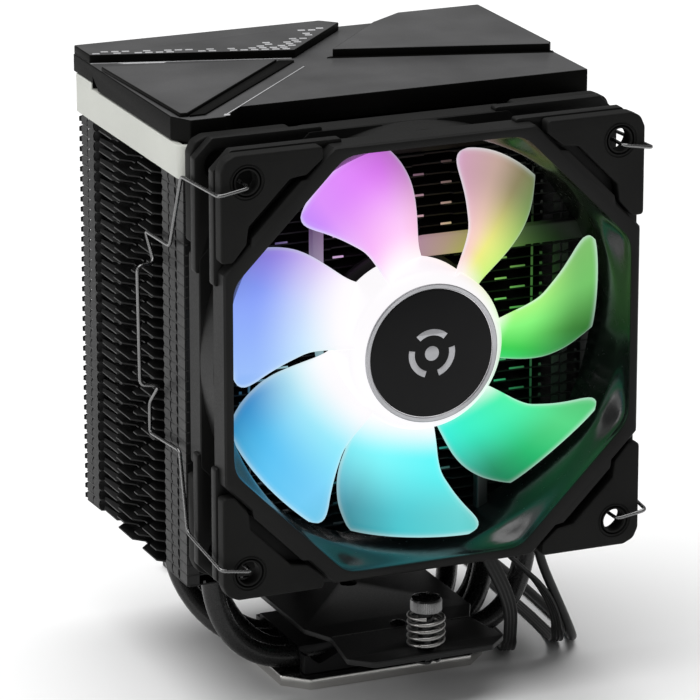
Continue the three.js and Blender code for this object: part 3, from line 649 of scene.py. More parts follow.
def connector(name, lead, x, y, wide, deep, high, pins):
    """A female pin housing: a rounded block with pin sockets, contact windows and two key ribs."""
    half_w, half_d = wide / 2, deep / 2
    body = plate_mesh([rounded(rectangle(-half_w, -half_d, half_w, half_d), 0.5)], 0.02, high, bevel=0.3)
    pitch = wide / pins * 0.94
    cutters = []
    for i in range(pins):
        px = (i - (pins - 1) / 2) * pitch
        cutters.append(block_mesh((px - 0.4, -half_d - 1, high / 2 - 0.4),
            (px + 0.4, -half_d + 4, high / 2 + 0.4)))
        cutters.append(block_mesh((px - 0.55, -0.6, high - 0.5), (px + 0.55, 2.6, high + 1)))
    ribs = [block_mesh((side * wide / 4 - 0.35, -half_d + 0.6, high - 0.2),
        (side * wide / 4 + 0.35, half_d - 1.2, high + 0.55)) for side in (-1, 1)]
    mesh = joined_mesh([cut_away(body, cutters), *ribs])
    mesh.transform(Matrix.Translation(Vector((x, y, 0)) * MM))
    tidy_mesh(mesh)
    return finish_object(name, mesh, M["connector"], replaces=(lead + "_plug",))


def tie(lead, x, y, half, height):
    """A loop of strap over the coil, with ridges along its top."""
    outer = rounded([(-half - 0.8, 0.05), (-half, 0.05), (-half, height + 0.3), (half, height + 0.3),
        (half, 0.05), (half + 0.8, 0.05), (half + 0.8, height + 1.1), (-half - 0.8, height + 1.1)], 0.35)
    strap = plate_mesh([outer], -2.5, 2.5, bevel=0.2, plan="frontal")
    ridges = [block_mesh((-half - 0.2, -2.2 + 1.1 * i, height + 1.0),
        (half + 0.2, -1.8 + 1.1 * i, height + 1.2)) for i in range(5)]
    mesh = joined_mesh([strap, *ridges])
    mesh.transform(Matrix.Translation(Vector((x, y, 0)) * MM))
    tidy_mesh(mesh)
    return finish_object(lead + "_strap", mesh, M["tie"], replaces=(lead + "_tie",))


def add_leads():
    for name, pins, plug_size, tie_size in (
        ("fan_lead", 4, (4.2, 84.45, 10.4, 10.9, 5.6), (-21, 84, 3.0, 4.2)),
        ("fan_light_lead", 3, (38.9, 116.45, 8.4, 10.9, 4.6), (17.7, 116, 2.7, 3.6)),
    ):
        lead = LEADS[name]
        housing = connector(name + "_housing", name, *plug_size, pins)
        obj, path = ribbon(name, lead)
        tie(name, *tie_size)
    line = [p for p, _ in ribbon_line(COVER_LEAD)]
    housing = connector("cover_light_lead_housing", "cover_light_lead", 44.5, 154.7, 7, 11.8, 4.6, 3)
    obj = tube("cover_light_lead_cable", line, 1.3, M["cable"], sides=14,
        replaces=("cover_light_lead", "cover_light_lead_coil"))
    tie("cover_light_lead", 31.6, 156, 4.9, 2.7)
    clamp = plate_mesh([rounded(rectangle(18.6, -36.4, 40.6, -32), 0.7)], 40.8, 43, bevel=0.3)
    slots = [block_mesh((x - w, -34.7, 40), (x + w, -33.3, 41.6)) for x,
        w in ((21.5, 2.2), (26.5, 1.9), (36.8, 1.4))]
    finish_object("lead_clamp", cut_away(clamp, slots), M["frame"], replaces=("lead_retainer",))


add_leads()

# ---- base ----

PIPE_R = 3.0
PIPE_Z = 6.6
PIPE_BASE_Y = (-10.5, -3.5, 3.5, 10.5)
PIPE_LEG = ((46.6, -7), (41.5, 7.5), (46.6, 22), (41.5, 36))
SCREW_Y = 43.7
BAR_SCREW_Y = 24.4
BAR_Z = (15.3, 16.9)
WAIST_Y = 27.3
SPRING_Z = (17.2, 26.9)
SPRING_R = 4.66
SPRING_WIRE = 0.57
SPRING_TURNS = 4.7
HEAD_TOP = 31.15
CLIP_Z = (13.42, 14.08)


def add_base():
    corner = 6.2
    hx, hy = PLATE_HIGH.x, PLATE_HIGH.y
    outline = [(-hx + corner, -hy), (hx - corner, -hy), (hx, -hy + corner), (hx, hy - corner),
        (hx - corner, hy), (-hx + corner, hy), (-hx, hy - corner), (-hx, -hy + corner)]
    plate("cold_plate", [rounded(outline, 0.6)], 0, 3, M["nickel"], replaces=("base_plate",), bevel=0.3)
    # the pressing block: its section across the pipes, with one open channel under each pipe
    section = [(-17.4, 3.3)]
    for y in PIPE_BASE_Y:
        arc = [radians(180 - 15 * k) for k in range(13)]
        section.append((y - 3.3, 3.3))
        section += [(y + 3.3 * cos(a), PIPE_Z + 3.3 * sin(a)) for a in arc]
        section.append((y + 3.3, 3.3))
    section += [(17.4, 3.3), (17.4, 9.4), (16.8, 10), (-16.8, 10), (-17.4, 9.4)]
    body = plate_mesh([section], -23.9, 23.9, bevel=0.12, plan="side")
    notches = [block_mesh((-26, -19, 8.6), (-12, -14.5, 11)), block_mesh((12, -19, 8.6), (26, -14.5, 11)),
        block_mesh((-26, 14.5, 8.6), (-12, 19, 11)), block_mesh((12, 14.5, 8.6), (26, 19, 11))]
    wedge = plate_mesh([[(-24.2, 9.3), (-24.2, 12), (-12, 12), (-12, 9.2), (-19.2, 5.9), (-19.9, 5.9)]],
        -18, -13.5, bevel=0.01, plan="frontal")
    rib = plate_mesh([rounded(rectangle(-9, 7.6, 9, 14.9), 0.5)], -28.3, 28.3, bevel=0.4, plan="frontal")
    mesh = joined_mesh([cut_away(body, [*notches, wedge]), rib])
    finish_object("pressing_block", mesh, M["metal"], replaces=("base_block",))


def bar_mesh():
    """The stamped crossbar: a flat bar with rounded corners, three holes and a waist near each end."""
    end = 49.2
    half = [(17.1, -end, 1.5), (22.8, -end + 5.4, 1.5), (20.4, -WAIST_Y, 3), (24.6, -WAIST_Y + 9, 2),
        (24.6, WAIST_Y - 9, 2), (20.4, WAIST_Y, 3), (22.8, end - 5.4, 1.5), (17.1, end, 1.5)]
    outline = rounded(mirrored(half), 1.5)
    holes = [circle(2.6, 0, -SCREW_Y, 24), circle(2.6, 0, SCREW_Y, 24), circle(2.35, 0.5, 9.8, 24)]
    return plate_mesh([outline, *holes], *BAR_Z, bevel=0.3, steps=3)


def add_crossbar():
    """The bar, with a crease pressed across it at each waist."""
    finish_object("crossbar_stamping", bar_mesh(), M["bar"], replaces=("crossbar",))
    foot = BAR_Z[1] - 0.04
    for place_name, y in (("front", -WAIST_Y), ("rear", WAIST_Y)):
        rings = []
        for x, top in ((-20.1, foot + 0.05), (-19.4, foot + 0.12), (19.4, foot + 0.12),
                (20.1, foot + 0.05)):
            rings.append([(x, y - 0.55, foot), (x, y - 0.2, top), (x, y + 0.2, top), (x, y + 0.55, foot),
                (x, y, foot - 0.26)])
        mesh_object("crossbar_crease_" + place_name, *skin(rings), M["crease"])


def cross_recess(x, y, top, size, depth):
    """Cutters for a cross recess."""
    w = size * 0.16
    return [block_mesh((x - size / 2, y - w, top - depth), (x + size / 2, y + w, top + 1)),
        block_mesh((x - w, y - size / 2, top - depth), (x + w, y + size / 2, top + 1))]


def lathe_mesh(profile, centre, count=48):
    """A profile of (radius, height) turned round a vertical axis, as a mesh for further cuts."""
    rings = []
    for radius, height in profile:
        rings.append([Vector((x, y, height)) + Vector(centre) for x, y in circle(radius, count=count)])
    return new_mesh(*skin(rings, capped=False))


def knurled_head(y):
    """The finely knurled rim of a screw head."""
    count = 52
    rings = []
    for z, push in ((27.35, -0.14), (27.6, 0), (30.2, 0), (30.5, -0.12)):
        ring = []
        for i in range(count * 2):
            a = pi * i / count
            radius = 4.28 + push - (0.15 if i % 2 else 0)
            ring.append(Vector((radius * cos(a), y + radius * sin(a), z)))
        rings.append(ring)
    return rings


def spring_line(y):
    """The spring's centreline: a nearly flat turn at each end and open turns between."""
    low, high = SPRING_Z[0] + SPRING_WIRE + 0.02, SPRING_Z[1] - SPRING_WIRE - 0.02
    steps = round(SPRING_TURNS * 32)
    line = []
    for i in range(steps + 1):
        t = i / (SPRING_TURNS * 32)
        angle = 2 * pi * SPRING_TURNS * t
        rise = (0.10 * min(1, t / 0.13) + 0.80 * min(1, max(0, (t - 0.13) / 0.74)) + 0.10 * max(0,
            (t - 0.87) / 0.13))
        line.append(Vector((SPRING_R * cos(angle), y + SPRING_R * sin(angle), low + (high - low) * rise)))
    return line


def add_spring_screw(place_name, side):
    """A screw with a knurled head, its spring above the bar and its split clip below."""
    y = side * SCREW_Y
    body, press = "screw_" + place_name, "screw_" + place_name + "_press"
    shank = lathe_mesh([(0, 12.4), (1.4, 12.4), (1.7, 12.7), (1.7, 13.1), (1.3, 13.1), (1.3, 14.4),
        (2.1, 14.4), (2.1, 27.25), (3.9, 27.25), (4.05, 27.4), (4.05, 30.6), (3.85, 31.0), (3.5, HEAD_TOP),
        (0, HEAD_TOP)], (0, y, 0))
    head = cut_away(shank, cross_recess(0, y, HEAD_TOP, 4.6, 1.6))
    finish_object("sprung_screw_" + place_name, head, M["dark_steel"], body,
        replaces=("spring_screw_" + place_name,))
    mesh_object("sprung_screw_rim_" + place_name, *skin(knurled_head(y)), M["knurl"], body, sharp=20)
    spring = tube("compression_spring_" + place_name, spring_line(y), SPRING_WIRE, M["spring"], sides=12,
        replaces=("screw_spring_" + place_name,))
    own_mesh(spring)
    # the split clip leaves 54 degrees open at the front
    turns = [radians(-63 + 306 * i / 30) for i in range(31)]
    clip = [(4 * cos(a), y + 4 * sin(a)) for a in turns]
    clip += [(1.6 * cos(a), y + 1.6 * sin(a)) for a in reversed(turns)]
    plate("c_clip_" + place_name, [clip], *CLIP_Z, M["dark_steel"], "screw_carrier_" + place_name,
        replaces=("retaining_clip_" + place_name,), bevel=0.12)


def add_bar_screws():
    for name, side in (("front", -1), ("rear", 1)):
        y = side * BAR_SCREW_Y
        profile = [(0, 16.95), (2.2, 16.95), (2.2, 17.15), (1.7, 17.55), (0.8, 17.75), (0, 17.8)]
        mesh = cut_away(lathe_mesh(profile, (0.4, y, 0), 28), cross_recess(0.4, y, 17.8, 2.4, 0.7))
        finish_object("bar_screw_" + name, mesh, M["dark_steel"], replaces=("crossbar_screw_" + name,))


# each crease is drawn as a thin ridge of paler metal than the bar
M["crease"] = finished("pale_crease_metal", "black_metal", (0.09, 0.09, 0.088), 0.3, 0.7, grain_mm=0.3)
M["dark_steel"] = finished("blackened_steel", "steel", (0.02, 0.02, 0.02), 0.25, 0.8, grain_mm=0.4)
M["spring"] = finished("spring_steel", "steel", (0.30, 0.295, 0.285), 0.3, 1.0, grain_mm=0.4,
    depth_mm=0.008)
M["knurl"] = finished("knurled_steel", "steel", (0.15, 0.15, 0.15), 0.3, 1.0, grain_mm=0.2, depth_mm=0.03)

add_base()
add_crossbar()
add_bar_screws()
add_spring_screw("front", -1)
add_spring_screw("rear", 1)

# ---- heat pipes ----


def bezier(p0, p1, p2, p3, count):
    p0, p1, p2, p3 = (Vector(p) for p in (p0, p1, p2, p3))
    for i in range(1, count + 1):
        t = i / count
        yield p0 * (1 - t) ** 3 + p1 * 3 * t * (1 - t) ** 2 + p2 * 3 * t * t * (1 - t) + p3 * t ** 3


def add_pipes():
    for index, ((x, y), base_y) in enumerate(zip(PIPE_LEG, PIPE_BASE_Y)):
        bend_z, end_x = 33.5, 24.9
        line = [Vector((-x, y, 150.4)), Vector((-x, y, 90)), Vector((-x, y, bend_z))]
        line += bezier((-x, y, bend_z), (-x, y, bend_z - 17), (-x + 8, base_y, PIPE_Z),
            (-end_x, base_y, PIPE_Z), 22)
        line.append(Vector((0, base_y, PIPE_Z)))
        line.append(Vector((end_x, base_y, PIPE_Z)))
        line += bezier((end_x, base_y, PIPE_Z), (x - 8, base_y, PIPE_Z), (x, y, bend_z - 17),
            (x, y, bend_z), 22)
        line += [Vector((x, y, 90)), Vector((x, y, 150.4))]
        tube(f"pipe_{index + 1}", line, PIPE_R - 0.01, M["pipe"], sides=28,
            replaces=(f"heat_pipe_{index + 1}",), domed=False)
        for s in (-1, 1):
            lathe(f"pipe_tip_{index + 1}_" + ("left" if s < 0 else "right"),
                [(0, 150.4), (2.6, 150.4), (2.4, 150.75), (1.4, 150.95), (0, 151)], M["pipe"],
                centre=(s * x, y, 0), count=24)


M["pipe"] = finished("pipe_coating", "black_metal", (0.012, 0.012, 0.012), 0.27, 0.3, grain_mm=0.9,
    depth_mm=0.002, gloss=0.4)
add_pipes()

# ---- fins ----

FIN_COUNT = 40
FIN_THICK = 0.45
FIN_PITCH = (FIN_HIGH.z - FIN_LOW.z - FIN_THICK) / (FIN_COUNT - 1)
HALF = 59.0
EDGE_X = 56.35  # side edge between the teeth


def fin_outline(kind):
    """Half of a fin's outline, front to back: a small chamfer, the tab column, the teeth, the hooks."""
    if kind == 0:
        teeth = [(1.7, 12), (20, 30.3)]
    else:
        teeth = [(1.7, 6.2), (15.2, 17.8), (25.8, 31.3)]
    half = [(57.9, -20.9), (58.7, -20.1), (58.7, -15.0), (58.6, -4.9), (EDGE_X, -4.4), (EDGE_X, -1.3)]
    for k, (a, b) in enumerate(teeth):
        half += [(HALF, a), (HALF, b)]
        if k + 1 < len(teeth):
            next_a = teeth[k + 1][0]
            middle_from, middle_to = b + 2.9, next_a - 2.9
            if middle_from < middle_to:
                half += [(EDGE_X, middle_from), (EDGE_X, middle_to)]
            else:
                half.append((HALF - (next_a - b) * 0.45, (b + next_a) / 2))
    half += [(EDGE_X, teeth[-1][1] + 2.6), (EDGE_X, 44.8), (58.4, 45.4), (58.7, 55.4), (57.6, 57.2),
        (54, 57.4)]
    return half


def fin_front(kind):
    """The scalloped front edge, right half, from the middle outwards."""
    if kind == 0:
        return [(3, -20.9), (5.4, -20.9), (6.2, -19.9), (14, -19.9), (14.8, -20.9), (24, -20.9),
            (29, -20.9)]
    return [(3, -20.9), (9, -20.9), (9.8, -19.9), (17, -19.9), (17.8, -20.9), (24, -20.9), (33, -20.9)]


def add_fins():
    collars = [(s * x, y) for x, y in PIPE_LEG for s in (-1, 1)]
    work = bmesh.new()
    for kind in (0, 1):
        outline = mirrored(fin_front(kind) + fin_outline(kind))
        holes = [circle(3.05, x, y, 20) for x, y in collars]
        fin = plate_mesh([outline, *holes], -FIN_THICK / 2, FIN_THICK / 2, bevel=0.05, steps=1)
        for i in range(kind, FIN_COUNT, 2):
            z = FIN_LOW.z + FIN_THICK / 2 + i * FIN_PITCH
            copy = fin.copy()
            copy.transform(Matrix.Translation((0, 0, z * MM)))
            work.from_mesh(copy)
            bpy.data.meshes.remove(copy)
    mesh = bpy.data.meshes.new("fins")
    work.to_mesh(mesh)
    work.free()
    finish_object("fins", mesh, M["fins"], replaces=("fin_stack",))


def sheet_piece(points, thick):
    """A closed strip of sheet: outline points in 3-D, thickened along its normal."""
    points = [Vector(p) for p in points]
    normal = (points[1] - points[0]).cross(points[2] - points[0]).normalized() * thick / 2
    count = len(points)
    verts = [p - normal for p in points] + [p + normal for p in points]
    faces = [tuple(reversed(range(count))), tuple(range(count, 2 * count))]
    faces += [(i, (i + 1) % count, (i + 1) % count + count, i + count) for i in range(count)]
    return verts, faces


def pieces_object(name, parts, material):
    """Many small closed pieces in one mesh."""
    verts, faces = [], []
    for part_verts, part_faces in parts:
        base_index = len(verts)
        verts += part_verts
        faces += [tuple(base_index + i for i in face) for face in part_faces]
    return mesh_object(name, verts, faces, material, sharp=30)


def add_fin_tabs():
    """Folded tabs that lock each fin to the next, in columns down both sides and across the front."""
    woven, hooks, front = [], [], []
    for i in range(FIN_COUNT - 1):
        z = FIN_LOW.z + FIN_THICK + i * FIN_PITCH
        lift = FIN_PITCH - FIN_THICK
        odd = i % 2
        for s in (-1, 1):
            # front woven column: two sheared flaps for each fin
            for y0, y1 in ((-14.3, -10.6), (-9.6, -5.6)):
                shear = 1.1
                woven.append(sheet_piece([(s * 58.55, y0 - shear * 0.4, z + 0.1),
                    (s * 58.7, y1 - shear * 0.7, z + 0.05), (s * 58.85, y1 + 0.2, z + lift * 0.55),
                    (s * 58.6, y1 + shear * 0.35, z + lift), (s * 58.5, y0 + shear * 0.5, z + lift),
                    (s * 58.8, y0 - 0.1, z + lift * 0.5)], 0.3))
            # rear woven column
            for y0, y1 in ((46.2, 50.0), (51.0, 54.8)):
                woven.append(sheet_piece([(s * 58.3, y0 + 0.4, z), (s * 58.75, y1 - 0.2, z + 0.1),
                    (s * 58.75, y1 + 0.3, z + lift * 0.6), (s * 58.3, y1, z + lift),
                    (s * 58.3, y0, z + lift), (s * 58.75, y0 - 0.3, z + lift * 0.6)], 0.3))
            # hook tabs that face forward
            y0, y1 = (32.4, 43.6) if odd else (34.2, 44.2)
            hooks.append(sheet_piece([(s * 56.35, y0, z + 0.25), (s * 57.7, y0 + 0.9, z + 0.15),
                (s * 57.9, y1, z + 0.3), (s * 57.6, y1 + 0.4, z + 1.1), (s * 56.6, y0 + 2.2, z + 1.25)],
                0.35))
            # small folded bumps at the rear corner
            hooks.append(sheet_piece([(s * 57.6, 55.9, z - 0.1), (s * 58.9, 56.6, z + 0.2),
                (s * 58.7, 57.2, z + 1.2), (s * 57.4, 57.3, z + 1.5)], 0.35))
            # plain flaps that close the front corner
            for (x0, y0), (x1, y1) in (((55.4, -20.7), (58.5, -20.5)), ((58.55, -20.3), (58.5, -14.9))):
                woven.append(sheet_piece([(s * x0, y0, z), (s * x1, y1, z), (s * x1, y1, z + lift),
                    (s * x0, y0, z + lift)], 0.3))
            # tabs on the front edge, seen through the fan
            if odd:
                front += front_tabs(s, z, ((34.4, 38.7),))
            else:
                front += front_tabs(s, z, ((29.9, 33.3),))
            front += front_tabs(s, z, ((46.9, 49.0), (49.6, 51.4)), tall=lift, tilt=0.6)
            for x in (43.4, 54.0):
                front += front_tabs(s, z, ((x - 0.35, x + 0.35),), tall=0.7)
            front += front_tabs(s, z, ((6, 9),) if odd else ((14, 17),), tall=0.5)
            # two columns of lock tabs on the rear edge
            for x in (15.5, 47.5):
                x += 1.2 * odd
                hooks.append(sheet_piece([(s * x, 57.3, z), (s * (x + 4.4), 57.3, z),
                    (s * (x + 4.1), 57.25, z + lift), (s * (x + 0.9), 57.25, z + lift)], 0.35))
    # an upright bar on each side that ties the fins' front edges together
    z0, z1 = FIN_LOW.z + 0.4, FIN_HIGH.z - 0.4
    for s in (-1, 1):
        front.append(sheet_piece([(s * 40.6, -20.5, z0), (s * 41.1, -20.5, z0), (s * 41.1, -20.5, z1),
            (s * 40.6, -20.5, z1)], 0.4))
    pieces_object("fin_tabs_woven", woven, M["tabs"])
    pieces_object("fin_tabs_hooks", hooks, M["tabs"])
    pieces_object("fin_tabs_front", front, M["lit_tabs"])


def front_tabs(s, z, spans, tall=0.45, tilt=0.0):
    parts = []
    for x0, x1 in spans:
        parts.append(sheet_piece([(s * x0, -20.75, z), (s * x1, -20.75, z + tilt),
            (s * x1, -20.75 + 0.05, z + tall), (s * x0, -20.7, z + tall - tilt * 0.5)], 0.3))
    return parts


def add_collars():
    """The drawn collars that grip the pipes, a short cuff on every fin."""
    for index, (x, y) in enumerate(PIPE_LEG):
        for s in (-1, 1):
            profile = []
            for i in range(FIN_COUNT):
                z = FIN_LOW.z + FIN_THICK + i * FIN_PITCH
                profile += [(3.75, z - 0.02), (3.35, z + 0.25), (3.3, z + 1.3), (3.12, z + 1.35)]
            outer = [(3.02, FIN_LOW.z + 0.2), *profile, (3.02, FIN_HIGH.z - 0.1)]
            outer = [(r, min(z, FIN_HIGH.z - 0.1)) for r, z in outer]
            lathe(f"fin_collars_{index + 1}_" + ("left" if s < 0 else "right"), outer, M["fins"],
                centre=(s * x, y, 0), count=18, loop=True)


M["tabs"] = finished("fin_tab_black", "black_metal", (0.012, 0.012, 0.012), 0.40, 0.15, grain_mm=0.5,
    depth_mm=0.01)
add_fins()
add_fin_tabs()
add_collars()

# ---- cover ----

COVER_HALF = COVER_HIGH.x
SKIRT_Z = COVER_LOW.z


def cover_outline(inset):
    i = inset
    h = COVER_HALF
    return [(-h + i, -15.5 + i * 0.7), (-57 + i * 0.7, -21.6 + i), (-47.2 - i * 0.3, -21.6 + i),
        (-40 - i * 0.3, -13.5 + i), (h - i, -13.5 + i), (h - i, 57 - i), (-h + i, 57 - i)]


def add_cover():
    top = plate_mesh([rounded(cover_outline(0), 0.7)], SKIRT_Z, COVER_TOP, bevel=0.35, steps=3)
    hollow = plate_mesh([cover_outline(2)], SKIRT_Z - 1, COVER_TOP - 2, bevel=0.01)
    # the skirt's lower edge: it rises behind the side's middle and dips in front of it
    side_cut = plate_mesh([[(42, 150), (42, 159), (38, 156.4), (38, 150)]], -62, -57.9, bevel=0.01,
        plan="side")
    rear_cut = plate_mesh([rectangle(42, 150, 58, 157.3)], -62, -57.9, bevel=0.01, plan="side")
    mesh = cut_away(top, [hollow, side_cut, rear_cut])
    # a lighter copy of the plastic on faces that look up and a near-black one on the rest: painted light on
    # the top, painted shade on the sides
    paint_side_shade(finish_object("cover_shell", mesh, M["cover_top_painted_light"], replaces=("top_cover",)), M["cover_side_painted_shade"])
    raised = {
        "rear_left": [(-60, 44.5), (-7.2, 28.4), (16, 52.5), (11.8, 56.8), (-60, 56.8)],
        "rear_right": [(2.2, 25), (58.8, 7.6), (60, 9.5), (60, 56.8), (35.5, 56.8), (30.5, 53.3),
            (25, 49.5)],
    }
    for name, points in raised.items():
        obj = plate("cover_panel_" + name, [rounded(points, 0.5)], COVER_TOP + 0.02, RAISED_TOP,
            M["cover_top_painted_light"], replaces=("cover_plate_" + name,), bevel=0.22)
        # the raised panels get the same painted light on top and painted shade on their sides
        paint_side_shade(obj, M["cover_side_painted_shade"])
    # the triangular panel slopes down on its right side, and a flat near-black band there is painted shade
    # for that slope
    triangle = [(-60, 36), (-58.5, -17.8), (-56.4, -18.2), (-13.5, 25.2)]
    obj = plate("cover_panel_triangle", [rounded(triangle, 0.5)], COVER_TOP + 0.02, 163.1, M["cover_top_painted_light"],
        replaces=("cover_plate_triangle",), bevel=0.3)
    paint_side_shade(obj, M["cover_side_painted_shade"])
    band = [(-56.3, -18.5), (-51.7, -18.5), (-8.9, 24.4), (-12.9, 26.0)]
    plate("cover_band", [rounded(band, 0.3)], COVER_TOP + 0.01, COVER_TOP + 0.55, M["cover_side_painted_shade"],
        bevel=0.15)
    # a thin near-black strip on the cover top, in the shaded copy of the plastic: painted shade in a slot
    slot = [(0.6, 24.7), (59.6, 6.7), (59.9, 7.9), (2.0, 25.6)]
    plate("cover_slot", [slot], COVER_TOP + 0.01, COVER_TOP + 0.25, M["cover_side_painted_shade"], bevel=0.05)


def strip(name, start, end, width, z, end_width=None):
    """A thin printed line between two points of the cover's top."""
    a, b = Vector(start), Vector(end)
    side = (b - a).orthogonal().normalized()
    w0, w1 = width / 2, (end_width or width) / 2
    loop = [a + side * w0, a - side * w0, b - side * w1, b + side * w1]
    plate(name, [[tuple(p) for p in loop]], z, z + 0.14, M["print"], bevel=0.03)


ROW_STEP = 1.85
DASH_STEP = 2.85
DASH_LENGTH = 2.0
DASH_WIDTH = 1.15
DASHES = ("xxxxxx.xx..xxxx.x.x", "xxxx.x.x.xxx.x.xxx", "xx.x", "x.x", "xx.x", "x", "xx", "", "x", "x", "",
    "xx", "x")


def add_print():
    """Silver lines at the panels' feet, and rows of short dashes along two edges of the rear panel."""
    z = COVER_TOP + 0.01  # the printed lines lie just on the plastic
    strip("line_front", (-47.0, -20.6), (-8.6, 18.6), 0.34, z)
    strip("line_rear_thin", (-60.0, 43.95), (-8.2, 28.25), 0.5, z)
    plate("line_rear_thick", [[(-53.5, 42.0), (-51.8, 40.0), (-41.6, 36.9), (-40.0, 37.9)]], z, z + 0.18,
        M["print"], bevel=0.05)
    plate("line_tip", [[(-47.6, -21.0), (-45.9, -21.2), (-45.4, -20.2), (-46.6, -19.4)]], z, z + 0.18,
        M["print"], bevel=0.05)
    # short dashes in staggered rows that follow the panel's front edge; each row starts at its right edge
    corner, left = Vector((-7.2, 28.4)), Vector((-60, 44.5))
    along = (left - corner).normalized()
    inward = Vector((-along.y, along.x)) if along.x > 0 else Vector((along.y, -along.x))
    parts = []
    for row, marks in enumerate(DASHES):
        depth = 0.7 + ROW_STEP * row
        for column, mark in enumerate(marks):
            if mark == "x":
                # each row starts further right, as the panel's right edge leans outwards
                reach = 1.5 - 0.509 * depth + DASH_STEP * column + (1.42 if row % 2 else 0)
                start = corner + inward * depth + along * reach
                parts.append(dash_prism(start, start + along * DASH_LENGTH, inward * DASH_WIDTH,
                    RAISED_TOP - 0.02, RAISED_TOP + 0.05))
    pieces_object("dash_pattern", parts, M["print"])


def dash_prism(a, b, side, low, high):
    corners = [a, b, b + side, a + side]
    verts = [Vector((p.x, p.y, low)) for p in corners] + [Vector((p.x, p.y, high)) for p in corners]
    faces = [(3, 2, 1, 0), (4, 5, 6, 7), (0, 1, 5, 4), (1, 2, 6, 5), (2, 3, 7, 6), (3, 0, 4, 7)]
    return verts, faces


def add_tray():
    outer = rounded(rectangle(-56.2, -20, 56.2, 54.8), 2)
    inner = rounded(rectangle(-52, -16.5, 52, 51.5), 1.5)
    mesh = plate_mesh([outer, inner], 146.2, 155.4, bevel=0.3)
    finish_object("light_tray", mesh, M["frame"], replaces=("cover_tray",))
    for name, side in (("left", -1), ("right", 1)):
        x0, x1, y0, y1, r = 58.4, 60.3, -22.4, 56.9, 3.0
        front = [(x1 - r + r * cos(a), y0 + r + r * sin(a))
            for a in [radians(-90 + 9 * k) for k in range(11)]]
        back = [(x1 - r + r * cos(a), y1 - r + r * sin(a)) for a in [radians(9 * k) for k in range(11)]]
        loop = [(x0 - 3, y0), *front, *back, (x0 - 3, y1), (x0 - 3, y1 - 1.1), (x0, y1 - 2.6),
            (x0, y0 + 2.6), (x0 - 3, y0 + 1.5)]
        lens = plate_mesh([[(side * x, y) for x, y in loop]], 146.4, 155.4, bevel=0.25)
        a, b = sorted((side * 58.6, side * x1))
        rise = block_mesh((a, 42.6, 155.0), (b, y1 - 2.4, 157.1))
        finish_object("diffuser_" + name, joined_mesh([lens, rise]), M["diffuser"],
            replaces=("light_diffuser_" + name,))
        x0, x1 = sorted((side * 56.75, side * 57.65))
        board = plate_mesh([rounded(rectangle(-17, 148.2, 53, 153.4), 0.4)], x0, x1, bevel=0.08,
            plan="side")
        chips = [block_mesh((side * 57.9 - 0.35, -12 + 10 * k, 149.6),
            (side * 57.9 + 0.35, -8.6 + 10 * k, 152.2)) for k in range(7)]
        finish_object("led_strip_" + name, joined_mesh([board, *chips]), M["board"],
            replaces=("light_strip_" + name,))


add_cover()
add_print()
add_tray()

# ---- fan frame ----

BARREL_R = 58.95
DUCT_R = 56.5


def octagon(half, reach):
    return [(half, reach), (reach, half), (-reach, half), (-half, reach), (-half, -reach), (-reach, -half),
        (reach, -half), (half, -reach)]


def polar(points):
    """The distance from the middle to an outline, as a function of the direction."""
    edges = list(zip(points, points[1:] + points[:1]))

    def distance(angle):
        dx, dy = cos(angle), sin(angle)
        best = 0
        for (ax, ay), (bx, by) in edges:
            ex, ey = bx - ax, by - ay
            cross = dx * ey - dy * ex
            if abs(cross) < 1e-12:
                continue
            t = (ax * ey - ay * ex) / cross
            u = (ax * dy - ay * dx) / cross
            if t > 0 and -1e-9 <= u <= 1 + 1e-9:
                best = max(best, t)
        return best

    return distance


def ring_angles():
    angles = [2 * pi * i / 144 for i in range(144)]
    for half, reach in ((59, 28.4), (56.4, 25)):
        for x, y in octagon(half, reach):
            angle = atan2(y, x) % (2 * pi)
            if min(abs(angle - other) for other in angles) > 0.004:
                angles.append(angle)
    return sorted(angles)


